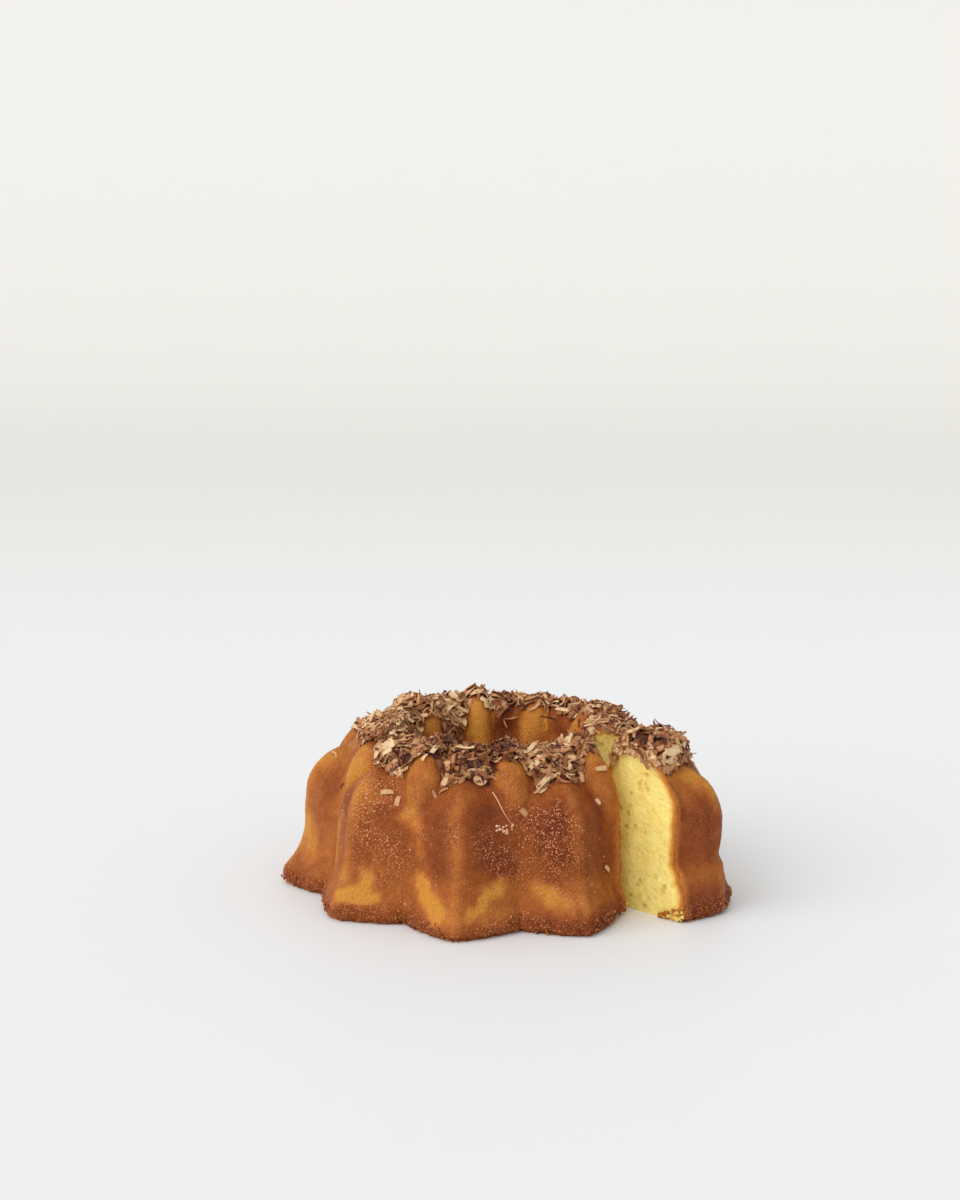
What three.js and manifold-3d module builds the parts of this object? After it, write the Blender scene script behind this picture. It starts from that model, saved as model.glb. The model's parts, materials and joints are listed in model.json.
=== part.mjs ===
// Pina colada bundt cake. A ring cake baked in a fluted pan with ten lobes, topped with
// toasted coconut, with one lobe cut out as a slice and drawn part of the way outwards.
//
// Lengths are millimetres and angles are degrees. Z is up and the table is z = 0. Angles round
// the ring are measured from the front (-Y) towards +X. A place round the ring is also written
// in lobes: a whole number is a valley between two lobes, and a half is a lobe's ridge.

import * as THREE from 'three';
import { ParametricGeometry } from 'three/addons/geometries/ParametricGeometry.js';
import { mergeVertices } from 'three/addons/utils/BufferGeometryUtils.js';
import Module from 'manifold-3d';

const wasm = await Module();
wasm.setup();

// Where the ring's axis stands. The origin is the middle of the whole cake's footprint.
const RING_CENTRE = { x: -4.5, y: -0.1 };

// The body of the ring, measured in a valley between two lobes
const FOOT_RADIUS = 97.5;
const WALL_RADIUS = 90;
const SHOULDER_RADIUS = 83;
const CREST_RADIUS = 65;
const CREST_HEIGHT = 80.5;
const THROAT_RADIUS = 55.5;
const HOLE_RADIUS = 33;

// Lobes. Each one is a keel on the outer wall that ends in a pointed arch near the top. It
// stands out most at the foot, and dies away from fadeFrom to fadeTo.
const VALLEY_ANGLES = [7.5, 41, 77, 115, 155.5, 188.3, 223, 259, 294.5, 331.5];
const LOBE_STRENGTHS = [1, 0.85, 1, 1.05, 1, 1, 1, 1, 0.98, 1.03];
const LOBE = { depth: 13, footDepth: 18.5, footFrom: 3, footTo: 34, fadeFrom: 55, fadeTo: 78 };
const ARCH = { spring: 50, top: 74, pointedness: 0.55, rounding: 0.92 };

// Tongues. Each one is a rounded rib over the crest, between two lobes, that runs down the hole.
// Outside it grows from its tip to full height, and inside it thins out towards the table.
// Widths are shares of the way from a valley to the keels beside it. Leans are how far the top
// and the tip of each one lie from its valley, in lobes.
const TONGUE_STRENGTHS = [1, 1, 0.75, 0.9, 0.8, 1, 1, 0.6, 0.9, 1];
const TONGUE_TIPS = [56, 34, 50, 56, 56, 56, 56, 56, 50, 46];
const TOP_LEANS = [-0.05, -0.03, 0, 0, 0, 0, 0, 0, 0.16, 0.04];
const TIP_LEANS = [0.03, 0.07, 0, 0, 0, 0, 0, 0, 0.12, 0.07];
const TONGUE = { depth: 9, full: 82, outerWidth: 0.43, outerTaper: 0.6 };
const TONGUE_INSIDE = { width: 0.58, footShare: 0.25, full: 74 };

// Matted coconut that fills the dips of the crest between two tongues. The band it fills is
// given as shares of the section's length: where it starts, is full, is still full, and ends.
const HEAP = { depth: 5.5, starts: 0.415, full: 0.47, thins: 0.55, ends: 0.63 };
const HEAP_SIDES = { clear: 0.15, full: 0.6 };

// Uneven baking, a slow swell of the whole surface that is flat on the table
const SWELL = { height: 0.5, waves: 3, rise: 9, from: 12 };

// Low on the wall the relief stands straight out, and above this band it follows the surface.
const LEAN = { from: 50, full: 76 };

// The slice holds the lobe between these angles. It is drawn out along SLICE_PULL_ANGLE.
const NEAR_CUT = 44.3;
const FAR_CUT = 76;
const KNIFE_ANGLE = 0.6;
const SLICE_PULL = 29;
const SLICE_PULL_ANGLE = 64;

// How the slice's lobe differs from the others: its wall is fuller up to the arch, its foot is
// a blunt ledge, and coconut lies deeper on it. On the side of its near cut the wall is hollow
// above the foot, and the tongue lies further in below the crest. The tongue beside its far cut
// is flat.
const SLICE = { shoulder: 3, flank: 2, ledge: 3.5, footDepth: 12.5, heap: 11, farTongue: 0.3 };
const SLICE_ROUNDING = { nearWall: 1.3, nearFoot: 0.95, farFoot: 0.45 };
const SLICE_LEAN = { below: 0.1, from: 56, gone: 70 };
const SHOULDER = { from: 30, full: 54, thins: 62, ends: 78, sides: 0.45 };
const FLANK = { from: 0.3, full: 0.8 };
const LEDGE = { from: 8, full: 17, thins: 24, ends: 30, nearSide: [0, 0.3], farSide: [0.2, 1] };
const BROAD_FOOT = { full: 18, ends: 28 };

// The ring's foot has crumbled away beside its near cut, round this place in lobes.
const WORN = { depth: 6.5, full: 6, ends: 26, place: 1.09, reach: 0.16 };

// Facets. Each stretch of the section ends at a share of its length and has its own rows: the
// foot, which is finer on the slice, the plain wall, the arches, the crest and the hole.
const FOOT_STRETCH = { end: 0.12, rows: 5 };
const SLICE_FOOT_STRETCH = { end: 0.135, rows: 6 };
const ROW_STRETCHES = [
  { end: 0.27, rows: 3 },
  { end: 0.47, rows: 8 },
  { end: 0.57, rows: 4 },
  { end: 1, rows: 5 },
];
const RING_STEPS_PER_LOBE = 10;
const SLICE_STEPS_PER_LOBE = 14;

// Toasted coconut. CREST_ALONG is where the crest lies on the way from foot to hole.
const CREST_ALONG = 0.51;
const FLAKES_ON_RING = 126;
const FLAKES_ON_SLICE = 20;
const FLAKE = { shortest: 6, longest: 11, narrowest: 1.9, widest: 3.1, thickness: 1.1, curl: 0.9 };
const FLAKE_LAY = { roll: 50, tilt: 44, lift: 0.35 };
const FLAKE_REACH = { outOnTongue: 0.035, outInDip: 0.095, inwards: 0.1 };
const CUT_CLEARANCE = 7;

const LOBES = VALLEY_ANGLES.length;
const { clamp, lerp, degToRad: radians, smoothstep: smooth } = THREE.MathUtils;

// Turns a place in lobes into an angle, as the valleys aren't quite evenly spaced.
function lobeAngle(lobe) {
  const turns = Math.floor(lobe / LOBES);
  const place = lobe - turns * LOBES;
  const valley = Math.floor(place);
  const start = VALLEY_ANGLES[valley];
  const end = valley + 1 < LOBES ? VALLEY_ANGLES[valley + 1] : VALLEY_ANGLES[0] + 360;
  return start + (end - start) * (place - valley) + 360 * turns;
}

// The section of the body in a valley: up the outer wall, over the crest and down the hole
function valleySection() {
  const points = [
    [FOOT_RADIUS - 3.5, 0],
    [FOOT_RADIUS, 3],
    [FOOT_RADIUS - 0.5, 9],
    [WALL_RADIUS + 2.5, 20],
    [WALL_RADIUS, 44],
    [WALL_RADIUS - 2, 58],
    [SHOULDER_RADIUS, 69],
    [SHOULDER_RADIUS - 8, 77],
    [CREST_RADIUS, CREST_HEIGHT],
    [CREST_RADIUS - 5.5, CREST_HEIGHT - 1],
    [THROAT_RADIUS, 74.5],
    [THROAT_RADIUS - 3, 64],
    [THROAT_RADIUS - 7, 48],
    [HOLE_RADIUS + 9.5, 30],
    [HOLE_RADIUS + 2, 12],
    [HOLE_RADIUS, 0],
  ];
  return new THREE.SplineCurve(points.map(([radius, height]) => new THREE.Vector2(radius, height)));
}

const section = valleySection();

// How fast a lobe's side falls away from its keel. fullness is 0 on the ring and 1 on the slice,
// and offValley is the signed distance from the nearest valley in lobes.
function sideRounding(height, offValley, fullness) {
  const foot = 1 - smooth(height, BROAD_FOOT.full, BROAD_FOOT.ends);
  const nearSide = lerp(SLICE_ROUNDING.nearWall, SLICE_ROUNDING.nearFoot, foot);
  const farSide = lerp(ARCH.rounding, SLICE_ROUNDING.farFoot, foot);
  return lerp(ARCH.rounding, offValley < 0 ? farSide : nearSide, fullness);
}

// How far a lobe's keel stands out of the valley surface
function lobeRise(height, offValley, strength, fullness) {
  const fading = clamp((height - LOBE.fadeFrom) / (LOBE.fadeTo - LOBE.fadeFrom), 0, 1);
  const foot = 1 - smooth(height, LOBE.footFrom, LOBE.footTo);
  const footDepth = lerp(LOBE.footDepth, SLICE.footDepth, fullness);
  const depth = lerp(LOBE.depth, footDepth, foot) * (1 - fading ** 2) * strength;
  const arch = clamp((ARCH.top - height) / (ARCH.top - ARCH.spring), 1e-6, 1);
  const across = 1 - 2 * Math.abs(offValley);
  const share = Math.max(0, 1 - across / arch ** ARCH.pointedness);
  return depth * share ** sideRounding(height, offValley, fullness);
}

// How far the middle of a tongue lies from its valley at this height, in lobes
function tongueLean(height, valley, offValley, fullness) {
  const climbed = smooth(height, TONGUE_TIPS[valley], CREST_HEIGHT);
  const onRing = lerp(TIP_LEANS[valley], TOP_LEANS[valley], climbed);
  const onNearSide = SLICE_LEAN.below * (1 - smooth(height, SLICE_LEAN.from, SLICE_LEAN.gone));
  return lerp(onRing, offValley > 0 ? onNearSide : 0, fullness);
}

// The full depth of a tongue
function tongueDepth(valley, offValley, fullness) {
  const share = offValley < 0 ? lerp(1, SLICE.farTongue, fullness) : 1;
  return TONGUE.depth * TONGUE_STRENGTHS[valley] * share;
}

// How far a tongue stands out, where across is 0 on the tongue and 1 on the keels beside it
function outerTongueRise(height, across, valley, fullDepth) {
  const tip = TONGUE_TIPS[valley];
  const depth = fullDepth * smooth(height, tip, TONGUE.full);
  const taper = smooth(height, tip, CREST_HEIGHT) ** TONGUE.outerTaper;
  const width = Math.max(1e-6, TONGUE.outerWidth * taper);
  return depth * Math.max(0, 1 - (across / width) ** 2);
}

function innerTongueRise(height, across, fullDepth) {
  const depth = fullDepth * lerp(TONGUE_INSIDE.footShare, 1, smooth(height, 0, TONGUE_INSIDE.full));
  const nearCrest = smooth(height, TONGUE_INSIDE.full, CREST_HEIGHT);
  const width = lerp(TONGUE_INSIDE.width, TONGUE.outerWidth, nearCrest);
  return depth * Math.max(0, 1 - (across / width) ** 2);
}

// How deep the coconut lies in the dips of the crest, where across is 0 on a tongue
function heapRise(along, across, fullness) {
  const band = smooth(along, HEAP.starts, HEAP.full) * (1 - smooth(along, HEAP.thins, HEAP.ends));
  const depth = lerp(HEAP.depth, SLICE.heap, fullness);
  return depth * band * smooth(across, HEAP_SIDES.clear, HEAP_SIDES.full);
}

// A height that grows and fades again between the heights of a band
function bandShare(height, band) {
  return smooth(height, band.from, band.full) * (1 - smooth(height, band.thins, band.ends));
}

// How much fuller the slice's lobe is
function sliceRise(height, offValley, fullness) {
  const fromValley = 2 * Math.abs(offValley);
  const flank = SLICE.flank * smooth(fromValley, FLANK.from, FLANK.full);
  const shoulder = SLICE.shoulder * smooth(fromValley, 0, SHOULDER.sides) + flank;
  const side = offValley < 0 ? LEDGE.farSide : LEDGE.nearSide;
  const ledge = SLICE.ledge * smooth(fromValley, ...side);
  return fullness * (shoulder * bandShare(height, SHOULDER) + ledge * bandShare(height, LEDGE));
}

// How much of the ring's foot is missing
function wornFoot(height, lobe, fullness) {
  const away = Math.abs(THREE.MathUtils.euclideanModulo(lobe, LOBES) - WORN.place);
  const near = 1 - smooth(away, 0, WORN.reach);
  return WORN.depth * (1 - fullness) * near * (1 - smooth(height, WORN.full, WORN.ends));
}

// A point of the crust. lobe is the place round the ring, and along runs from 0 at the foot of
// the outer wall to 1 at the foot of the hole.
function crustPoint(lobe, along, fullness, target = new THREE.Vector3()) {
  const core = section.getPointAt(along);
  const direction = section.getTangentAt(along);
  const height = core.y;
  const onOutside = along < CREST_ALONG;
  const offValley = lobe - Math.round(lobe);
  const valley = THREE.MathUtils.euclideanModulo(Math.round(lobe), LOBES);
  const strength = LOBE_STRENGTHS[THREE.MathUtils.euclideanModulo(Math.floor(lobe), LOBES)];
  const fromTongue = 2 * Math.abs(offValley - tongueLean(height, valley, offValley, fullness));
  const fullDepth = tongueDepth(valley, offValley, fullness);
  const angle = radians(lobeAngle(lobe));

  let rise = innerTongueRise(height, fromTongue, fullDepth);
  if (onOutside) {
    const keel = lobeRise(height, offValley, strength, fullness);
    const tongue = outerTongueRise(height, fromTongue, valley, fullDepth);
    rise = Math.max(keel, tongue) + sliceRise(height, offValley, fullness);
    rise -= wornFoot(height, lobe, fullness);
  }
  rise = Math.max(rise, heapRise(along, fromTongue, fullness));
  const wave = Math.sin(SWELL.waves * angle + height / SWELL.rise);
  rise += SWELL.height * wave * smooth(height, 0, SWELL.from);

  const lean = onOutside ? smooth(height, LEAN.from, LEAN.full) : 1;
  const radius = core.x + rise * (1 - lean + lean * direction.y);
  const z = core.y - rise * lean * direction.x;
  return target.set(radius * Math.sin(angle), -radius * Math.cos(angle), z);
}

// Turns a closed geometry into a solid that can be joined and cut.
function solidFrom(geometry) {
  geometry.deleteAttribute('normal');
  geometry.deleteAttribute('uv');
  const merged = mergeVertices(geometry, 1e-4);
  const vertProperties = new Float32Array(merged.attributes.position.array);
  const triVerts = new Uint32Array(merged.index.array);
  return new wasm.Manifold(new wasm.Mesh({ numProp: 3, vertProperties, triVerts }));
}

function geometryFrom(solid) {
  const mesh = solid.getMesh();
  const geometry = new THREE.BufferGeometry();
  geometry.setAttribute('position', new THREE.BufferAttribute(mesh.vertProperties, 3));
  geometry.setIndex(new THREE.BufferAttribute(mesh.triVerts, 1));
  return geometry;
}

// Keeps the largest closed piece, so that loose scraps and sealed gaps between flakes go.
function largestPiece(solid) {
  const pieces = solid.decompose();
  return pieces.reduce((best, piece) => (piece.volume() > best.volume() ? piece : best));
}

// The shares of the section's length at which its rows of corners lie
function rowPlaces(footStretch) {
  const places = [0];
  let start = 0;
  for (const { end, rows } of [footStretch, ...ROW_STRETCHES]) {
    for (let row = 1; row <= rows; row += 1) {
      places.push(start + ((end - start) * row) / rows);
    }
    start = end;
  }
  return places;
}

// The whole uncut ring. The last row of facets closes the flat base.
function wholeRing(stepsPerLobe, footStretch, fullness) {
  const places = rowPlaces(footStretch);
  const place = (u, v, target) => {
    const row = Math.round(v * places.length) % places.length;
    return crustPoint((u % 1) * LOBES, places[row], fullness, target);
  };
  return solidFrom(new ParametricGeometry(place, LOBES * stepsPerLobe, places.length));
}

// A tall wedge from the ring's axis outwards, which a knife cuts
function wedge(fromAngle, toAngle) {
  const reach = 2 * FOOT_RADIUS;
  const corner = (angle) => [reach * Math.sin(radians(angle)), -reach * Math.cos(radians(angle))];
  const outline = new THREE.Shape();
  outline.moveTo(0, 0);
  outline.lineTo(...corner(fromAngle));
  outline.lineTo(...corner(toAngle));
  outline.closePath();
  const depth = 2 * CREST_HEIGHT;
  const block = new THREE.ExtrudeGeometry(outline, { depth, bevelEnabled: false });
  block.translate(0, 0, -CREST_HEIGHT / 2);
  return solidFrom(block);
}

// A repeatable random number between 0 and 1
function randomSource(seed) {
  let state = seed;
  return () => {
    state = (Math.imul(state, 1664525) + 1013904223) >>> 0;
    return state / 4294967296;
  };
}

// One curled strip of coconut, lying along X with its middle at the origin
function flakeGeometry(length, width, curl) {
  const strip = new THREE.BoxGeometry(length, width, FLAKE.thickness, 2, 1, 1);
  const position = strip.attributes.position;
  for (let i = 0; i < position.count; i += 1) {
    const fromMiddle = position.getX(i) / (length / 2);
    position.setZ(i, position.getZ(i) + curl * fromMiddle ** 2);
  }
  return strip;
}

// Small steps on the crust, in lobes and in shares of the section, that give its directions
const LOBE_STEP = 0.02;
const ALONG_STEP = 0.004;

// Lays one flake on the crust, turned and tilted at random, with its middle sunk in the surface.
function layFlake(lobe, along, fullness, random) {
  const here = crustPoint(lobe, along, fullness);
  const sideways = crustPoint(lobe + LOBE_STEP, along, fullness).sub(here).normalize();
  const inwards = crustPoint(lobe, along + ALONG_STEP, fullness).sub(here).normalize();
  const outwards = sideways.clone().cross(inwards).normalize();
  const forwards = outwards.clone().cross(sideways).normalize();
  const length = lerp(FLAKE.shortest, FLAKE.longest, random());
  const width = lerp(FLAKE.narrowest, FLAKE.widest, random());
  const strip = flakeGeometry(length, width, FLAKE.curl * random());
  strip.rotateX(radians(FLAKE_LAY.roll * (random() - 0.5)));
  strip.rotateY(radians(FLAKE_LAY.tilt * (random() - 0.5)));
  strip.rotateZ(radians(180 * random()));
  strip.translate(0, 0, FLAKE_LAY.lift);
  const placed = new THREE.Matrix4().makeBasis(sideways, forwards, outwards).setPosition(here);
  return solidFrom(strip.applyMatrix4(placed));
}

// Flakes lie thickest in the dips between tongues, and reach down to the tops of the arches.
function scatterFlakes(body, count, firstLobe, lastLobe, fullness, seed) {
  const random = randomSource(seed);
  let covered = body;
  for (let i = 0; i < count; i += 1) {
    const lobe = firstLobe + ((lastLobe - firstLobe) * (i + random())) / count;
    const fromValley = 2 * Math.abs(lobe - Math.round(lobe));
    const outwards = lerp(FLAKE_REACH.outOnTongue, FLAKE_REACH.outInDip, fromValley);
    const along = CREST_ALONG + lerp(-outwards, FLAKE_REACH.inwards, random());
    covered = covered.add(layFlake(lobe, along, fullness, random));
  }
  return largestPiece(covered);
}

// The place in lobes of an angle that lies between two neighbouring valleys
function lobeAt(valley, angle) {
  return valley + (angle - lobeAngle(valley)) / (lobeAngle(valley + 1) - lobeAngle(valley));
}

function cakeRing() {
  const whole = wholeRing(RING_STEPS_PER_LOBE, FOOT_STRETCH, 0);
  const ring = whole.subtract(wedge(NEAR_CUT, FAR_CUT));
  const start = lobeAt(1, FAR_CUT + CUT_CLEARANCE);
  const end = lobeAt(1, NEAR_CUT - CUT_CLEARANCE) + LOBES;
  return scatterFlakes(ring, FLAKES_ON_RING, start, end, 0, 20);
}

function cakeSlice() {
  const whole = wholeRing(SLICE_STEPS_PER_LOBE, SLICE_FOOT_STRETCH, 1);
  const slice = whole.intersect(wedge(NEAR_CUT + KNIFE_ANGLE, FAR_CUT - KNIFE_ANGLE));
  const start = lobeAt(1, NEAR_CUT + CUT_CLEARANCE);
  const end = lobeAt(1, FAR_CUT - CUT_CLEARANCE);
  return scatterFlakes(slice, FLAKES_ON_SLICE, start, end, 1, 7);
}

const bakedCrust = new THREE.MeshStandardMaterial({
  color: 0xb4682e,
  roughness: 0.55,
  metalness: 0,
});
const bakedSlice = new THREE.MeshStandardMaterial({
  color: 0xc98d3c,
  roughness: 0.6,
  metalness: 0,
});

const ring = new THREE.Mesh(geometryFrom(cakeRing()), bakedCrust);
ring.name = 'cake_ring';

const slice = new THREE.Mesh(geometryFrom(cakeSlice()), bakedSlice);
slice.name = 'cake_slice';
slice.position.set(
  SLICE_PULL * Math.sin(radians(SLICE_PULL_ANGLE)),
  -SLICE_PULL * Math.cos(radians(SLICE_PULL_ANGLE)),
  0,
);

const cake = new THREE.Group();
cake.add(ring, slice);
cake.position.set(RING_CENTRE.x, RING_CENTRE.y, 0);

export default cake;
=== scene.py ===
"""Pina colada bundt cake: a ring cake baked in a ten-lobe fluted pan, with toasted coconut on
its crest and one lobe drawn out as a slice.

Lengths in the named sizes are millimetres unless a property says otherwise. Angles round the
ring are degrees from the front (-Y) towards +X. A place round the ring is also written in
lobes: a whole number is a valley between two lobes, and a half is a lobe's ridge.
"""

import json
import math

import bpy
import numpy as np
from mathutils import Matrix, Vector, noise


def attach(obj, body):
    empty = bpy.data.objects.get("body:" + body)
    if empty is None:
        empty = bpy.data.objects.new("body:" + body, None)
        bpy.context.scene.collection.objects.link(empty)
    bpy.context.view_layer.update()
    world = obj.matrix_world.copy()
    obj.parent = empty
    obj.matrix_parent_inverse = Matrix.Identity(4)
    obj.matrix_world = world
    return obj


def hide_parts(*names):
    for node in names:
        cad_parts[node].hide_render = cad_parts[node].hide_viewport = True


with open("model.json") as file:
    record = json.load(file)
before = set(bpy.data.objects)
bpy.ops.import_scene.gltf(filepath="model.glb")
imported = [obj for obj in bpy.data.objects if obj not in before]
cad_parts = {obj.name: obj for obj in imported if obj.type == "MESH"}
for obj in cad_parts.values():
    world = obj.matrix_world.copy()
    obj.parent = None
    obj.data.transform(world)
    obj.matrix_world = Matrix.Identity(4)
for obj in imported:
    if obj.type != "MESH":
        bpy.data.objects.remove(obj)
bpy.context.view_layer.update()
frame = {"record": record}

bl_info = {
    "name": "Fluted Ring Cake",
    "version": (1, 0, 0),
    "blender": (4, 5, 0),
    "location": "3D View > Sidebar > Cake",
    "description": "Bakes a fluted ring cake with a drawn slice and toasted coconut",
    "category": "Add Mesh",
}

MM = 0.001
MM_PER_LOBE = 60
BODY = "root"
RING_NODE = "cake_ring"
SLICE_NODE = "cake_slice"

# Relief of the crust, as the part's source has it, in millimetres
VALLEY_ANGLES = (7.5, 41, 77, 115, 155.5, 188.3, 223, 259, 294.5, 331.5)
LOBE_STRENGTHS = (1, 0.85, 1, 1.05, 1, 1, 1, 1, 0.98, 1.03)
TONGUE_STRENGTHS = (1, 1, 0.75, 0.9, 0.8, 1, 1, 0.6, 0.9, 1)
TONGUE_TIPS = (56, 34, 50, 56, 56, 56, 56, 56, 50, 46)
TOP_LEANS = (-0.05, -0.03, 0, 0, 0, 0, 0, 0, 0.16, 0.04)
TIP_LEANS = (0.03, 0.07, 0, 0, 0, 0, 0, 0, 0.12, 0.07)
LOBES = len(VALLEY_ANGLES)
FOOT_RADIUS = 97.5
WALL_RADIUS = 90
SHOULDER_RADIUS = 83
CREST_RADIUS = 65
CREST_HEIGHT = 80.5
THROAT_RADIUS = 55.5
HOLE_RADIUS = 33
ARCH_SPRING = 50
ARCH_TOP = 74
TONGUE_FULL = 82
OUTER_WIDTH = 0.43
INNER_WIDTH = 0.58
INNER_FULL = 74
CREST_ALONG = 0.51
HEAP_BAND = (0.415, 0.47, 0.55, 0.63)

# The slice and how far it is drawn out
NEAR_CUT = 44.3
FAR_CUT = 76
KNIFE_ANGLE = 0.6
SLICE_PULL = 29
SLICE_PULL_ANGLE = 64

# How the slice's lobe differs from the ring's
SLICE_SHOULDER = 3
SLICE_FLANK = 2
SLICE_HEAP = 11
SLICE_FAR_TONGUE = 0.3
SLICE_TONGUE_LEAN = 0.1
SLICE_FOOT_DEPTH = 12.5
SLICE_LEDGE = 3.5
WALL_ROUNDING = 1.3
FOOT_ROUNDING = 0.95
FAR_FOOT_ROUNDING = 0.45

SECTION = (
    (FOOT_RADIUS - 3.5, 0),
    (FOOT_RADIUS, 3),
    (FOOT_RADIUS - 0.5, 9),
    (WALL_RADIUS + 2.5, 20),
    (WALL_RADIUS, 44),
    (WALL_RADIUS - 2, 58),
    (SHOULDER_RADIUS, 69),
    (SHOULDER_RADIUS - 8, 77),
    (CREST_RADIUS, CREST_HEIGHT),
    (CREST_RADIUS - 5.5, CREST_HEIGHT - 1),
    (THROAT_RADIUS, 74.5),
    (THROAT_RADIUS - 3, 64),
    (THROAT_RADIUS - 7, 48),
    (HOLE_RADIUS + 9.5, 30),
    (HOLE_RADIUS + 2, 12),
    (HOLE_RADIUS, 0),
)


# Small tools

def smooth(value, low, high):
    t = np.clip((np.asarray(value, float) - low) / (high - low), 0, 1)
    return t * t * (3 - 2 * t)


def mix(a, b, share):
    return a + (b - a) * share


def soft_max(a, b, blend):
    """The larger of two heights, rounded where they meet."""
    share = np.clip(0.5 + 0.5 * (a - b) / blend, 0, 1)
    return mix(b, a, share) + blend * share * (1 - share)


def ring_axis():
    """Where the ring's axis stands, from the stated opening through its hole, in metres."""
    openings = frame["record"]["physics"]["openings"]
    low, high = next(o["box_m"] for o in openings if o["name"] == "ring_hole")
    return np.array([(low[0] + high[0]) / 2, (low[1] + high[1]) / 2, 0])


def slice_shift():
    angle = math.radians(SLICE_PULL_ANGLE)
    return np.array([math.sin(angle), -math.cos(angle), 0]) * SLICE_PULL


def linear(colour):
    """A display colour of 0 to 255 as the linear light that shaders use."""
    share = np.array(colour, float) / 255
    light = np.where(share <= 0.04045, share / 12.92, ((share + 0.055) / 1.055) ** 2.4)
    return (*light, 1.0)


def value_noise(points, size, seed=0, octaves=2):
    """Smooth noise of about -1 to 1 at points in millimetres, with features of the given size."""
    places = np.asarray(points, float).reshape(-1, 3) / size + seed * 17.3
    values = [noise.fractal(Vector(place), 0.9, 2.0, octaves) for place in places]
    return np.array(values).reshape(np.shape(points)[:-1])


# The crust's shape

class Section:
    """The valley section as a smooth curve, read by its share of length from 0 to 1."""

    SAMPLES = 800

    def __init__(self, points):
        corners = np.array(points, float)
        last = len(corners) - 1
        at = np.linspace(0, last, self.SAMPLES + 1)
        first = np.minimum(np.floor(at).astype(int), last - 1)
        t = (at - first)[:, None]
        p0 = corners[np.maximum(first - 1, 0)]
        p1 = corners[first]
        p2 = corners[first + 1]
        p3 = corners[np.minimum(first + 2, last)]
        out, back = (p2 - p0) / 2, (p3 - p1) / 2
        cubic = (2 * p1 - 2 * p2 + out + back) * t**3
        square = (-3 * p1 + 3 * p2 - 2 * out - back) * t**2
        self.places = cubic + square + out * t + p1
        steps = np.hypot(*np.diff(self.places, axis=0).T)
        self.shares = np.concatenate([[0], np.cumsum(steps)]) / steps.sum()
        slopes = np.gradient(self.places, self.shares, axis=0)
        self.slopes = slopes / np.hypot(*slopes.T)[:, None]

    def point(self, share):
        return [np.interp(share, self.shares, self.places[:, i]) for i in (0, 1)]

    def slope(self, share):
        return [np.interp(share, self.shares, self.slopes[:, i]) for i in (0, 1)]


section = Section(SECTION)


def lobe_to_angle(lobe):
    """Degrees round the ring of a place in lobes."""
    starts = np.array([*VALLEY_ANGLES, VALLEY_ANGLES[0] + 360], float)
    turns = np.floor(np.asarray(lobe, float) / LOBES)
    return np.interp(lobe - turns * LOBES, np.arange(LOBES + 1), starts) + 360 * turns


def angle_to_lobe(angle):
    starts = np.array([*VALLEY_ANGLES, VALLEY_ANGLES[0] + 360], float)
    turns = np.floor((np.asarray(angle, float) - starts[0]) / 360)
    return np.interp(angle - turns * 360, starts, np.arange(LOBES + 1)) + LOBES * turns


def keel_rise(height, off_valley, strength, fullness):
    """How far a lobe's keel stands out. fullness is 0 on the ring and 1 on the slice."""
    from_valley = 2 * np.abs(off_valley)
    shape = bpy.context.scene.cake_shape
    fading = np.clip((height - 55) / 23, 0, 1)
    foot = 1 - smooth(height, 3, 34)
    foot_depth = mix(shape.foot_depth, SLICE_FOOT_DEPTH, fullness)
    depth = mix(shape.lobe_depth, foot_depth, foot) * (1 - fading**2) * strength
    arch = np.clip((ARCH_TOP - height) / (ARCH_TOP - ARCH_SPRING), 1e-6, 1) ** 0.55
    across = np.sqrt((1 - from_valley) ** 2 + shape.keel_rounding**2)
    broad_foot = 1 - smooth(height, 18, 28)
    near_side = mix(WALL_ROUNDING, FOOT_ROUNDING, broad_foot)
    far_side = mix(0.92, FAR_FOOT_ROUNDING, broad_foot)
    rounding = mix(0.92, np.where(off_valley >= 0, near_side, far_side), fullness)
    return depth * np.clip(1.03 - across / arch, 0, 1) ** rounding


def slice_rise(height, off_valley, fullness):
    """How much fuller the slice's lobe is, with a ledge round its foot."""
    from_valley = 2 * np.abs(off_valley)
    below_crest = 1 - smooth(height, 62, 78)
    flank = SLICE_FLANK * smooth(height, 20, 38) * smooth(from_valley, 0.3, 0.8)
    shoulder = SLICE_SHOULDER * smooth(height, 30, 54) * smooth(from_valley, 0, 0.45)
    reach = np.where(off_valley >= 0, smooth(from_valley, 0, 0.3), smooth(from_valley, 0.2, 1))
    ledge = smooth(height, 8, 17) * (1 - smooth(height, 24, 30)) * reach
    return fullness * ((shoulder + flank) * below_crest + SLICE_LEDGE * ledge)


def worn_foot(height, lobe, fullness):
    """How much of the ring's foot has crumbled away beside its near cut."""
    near = 1 - smooth(np.abs(lobe % LOBES - 1.09), 0, 0.16)
    return 6.5 * (1 - fullness) * near * (1 - smooth(height, 6, 26))


def tongue_lean(height, off_valley, valley, fullness):
    """How far the middle of a tongue lies from its valley at this height, in lobes."""
    tips, tops, starts = (np.array(row)[valley] for row in (TIP_LEANS, TOP_LEANS, TONGUE_TIPS))
    on_ring = mix(tips, tops, smooth(height, starts, CREST_HEIGHT))
    near_side = SLICE_TONGUE_LEAN * (1 - smooth(height, 56, 70)) * (off_valley > 0)
    return mix(on_ring, near_side, fullness)


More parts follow.
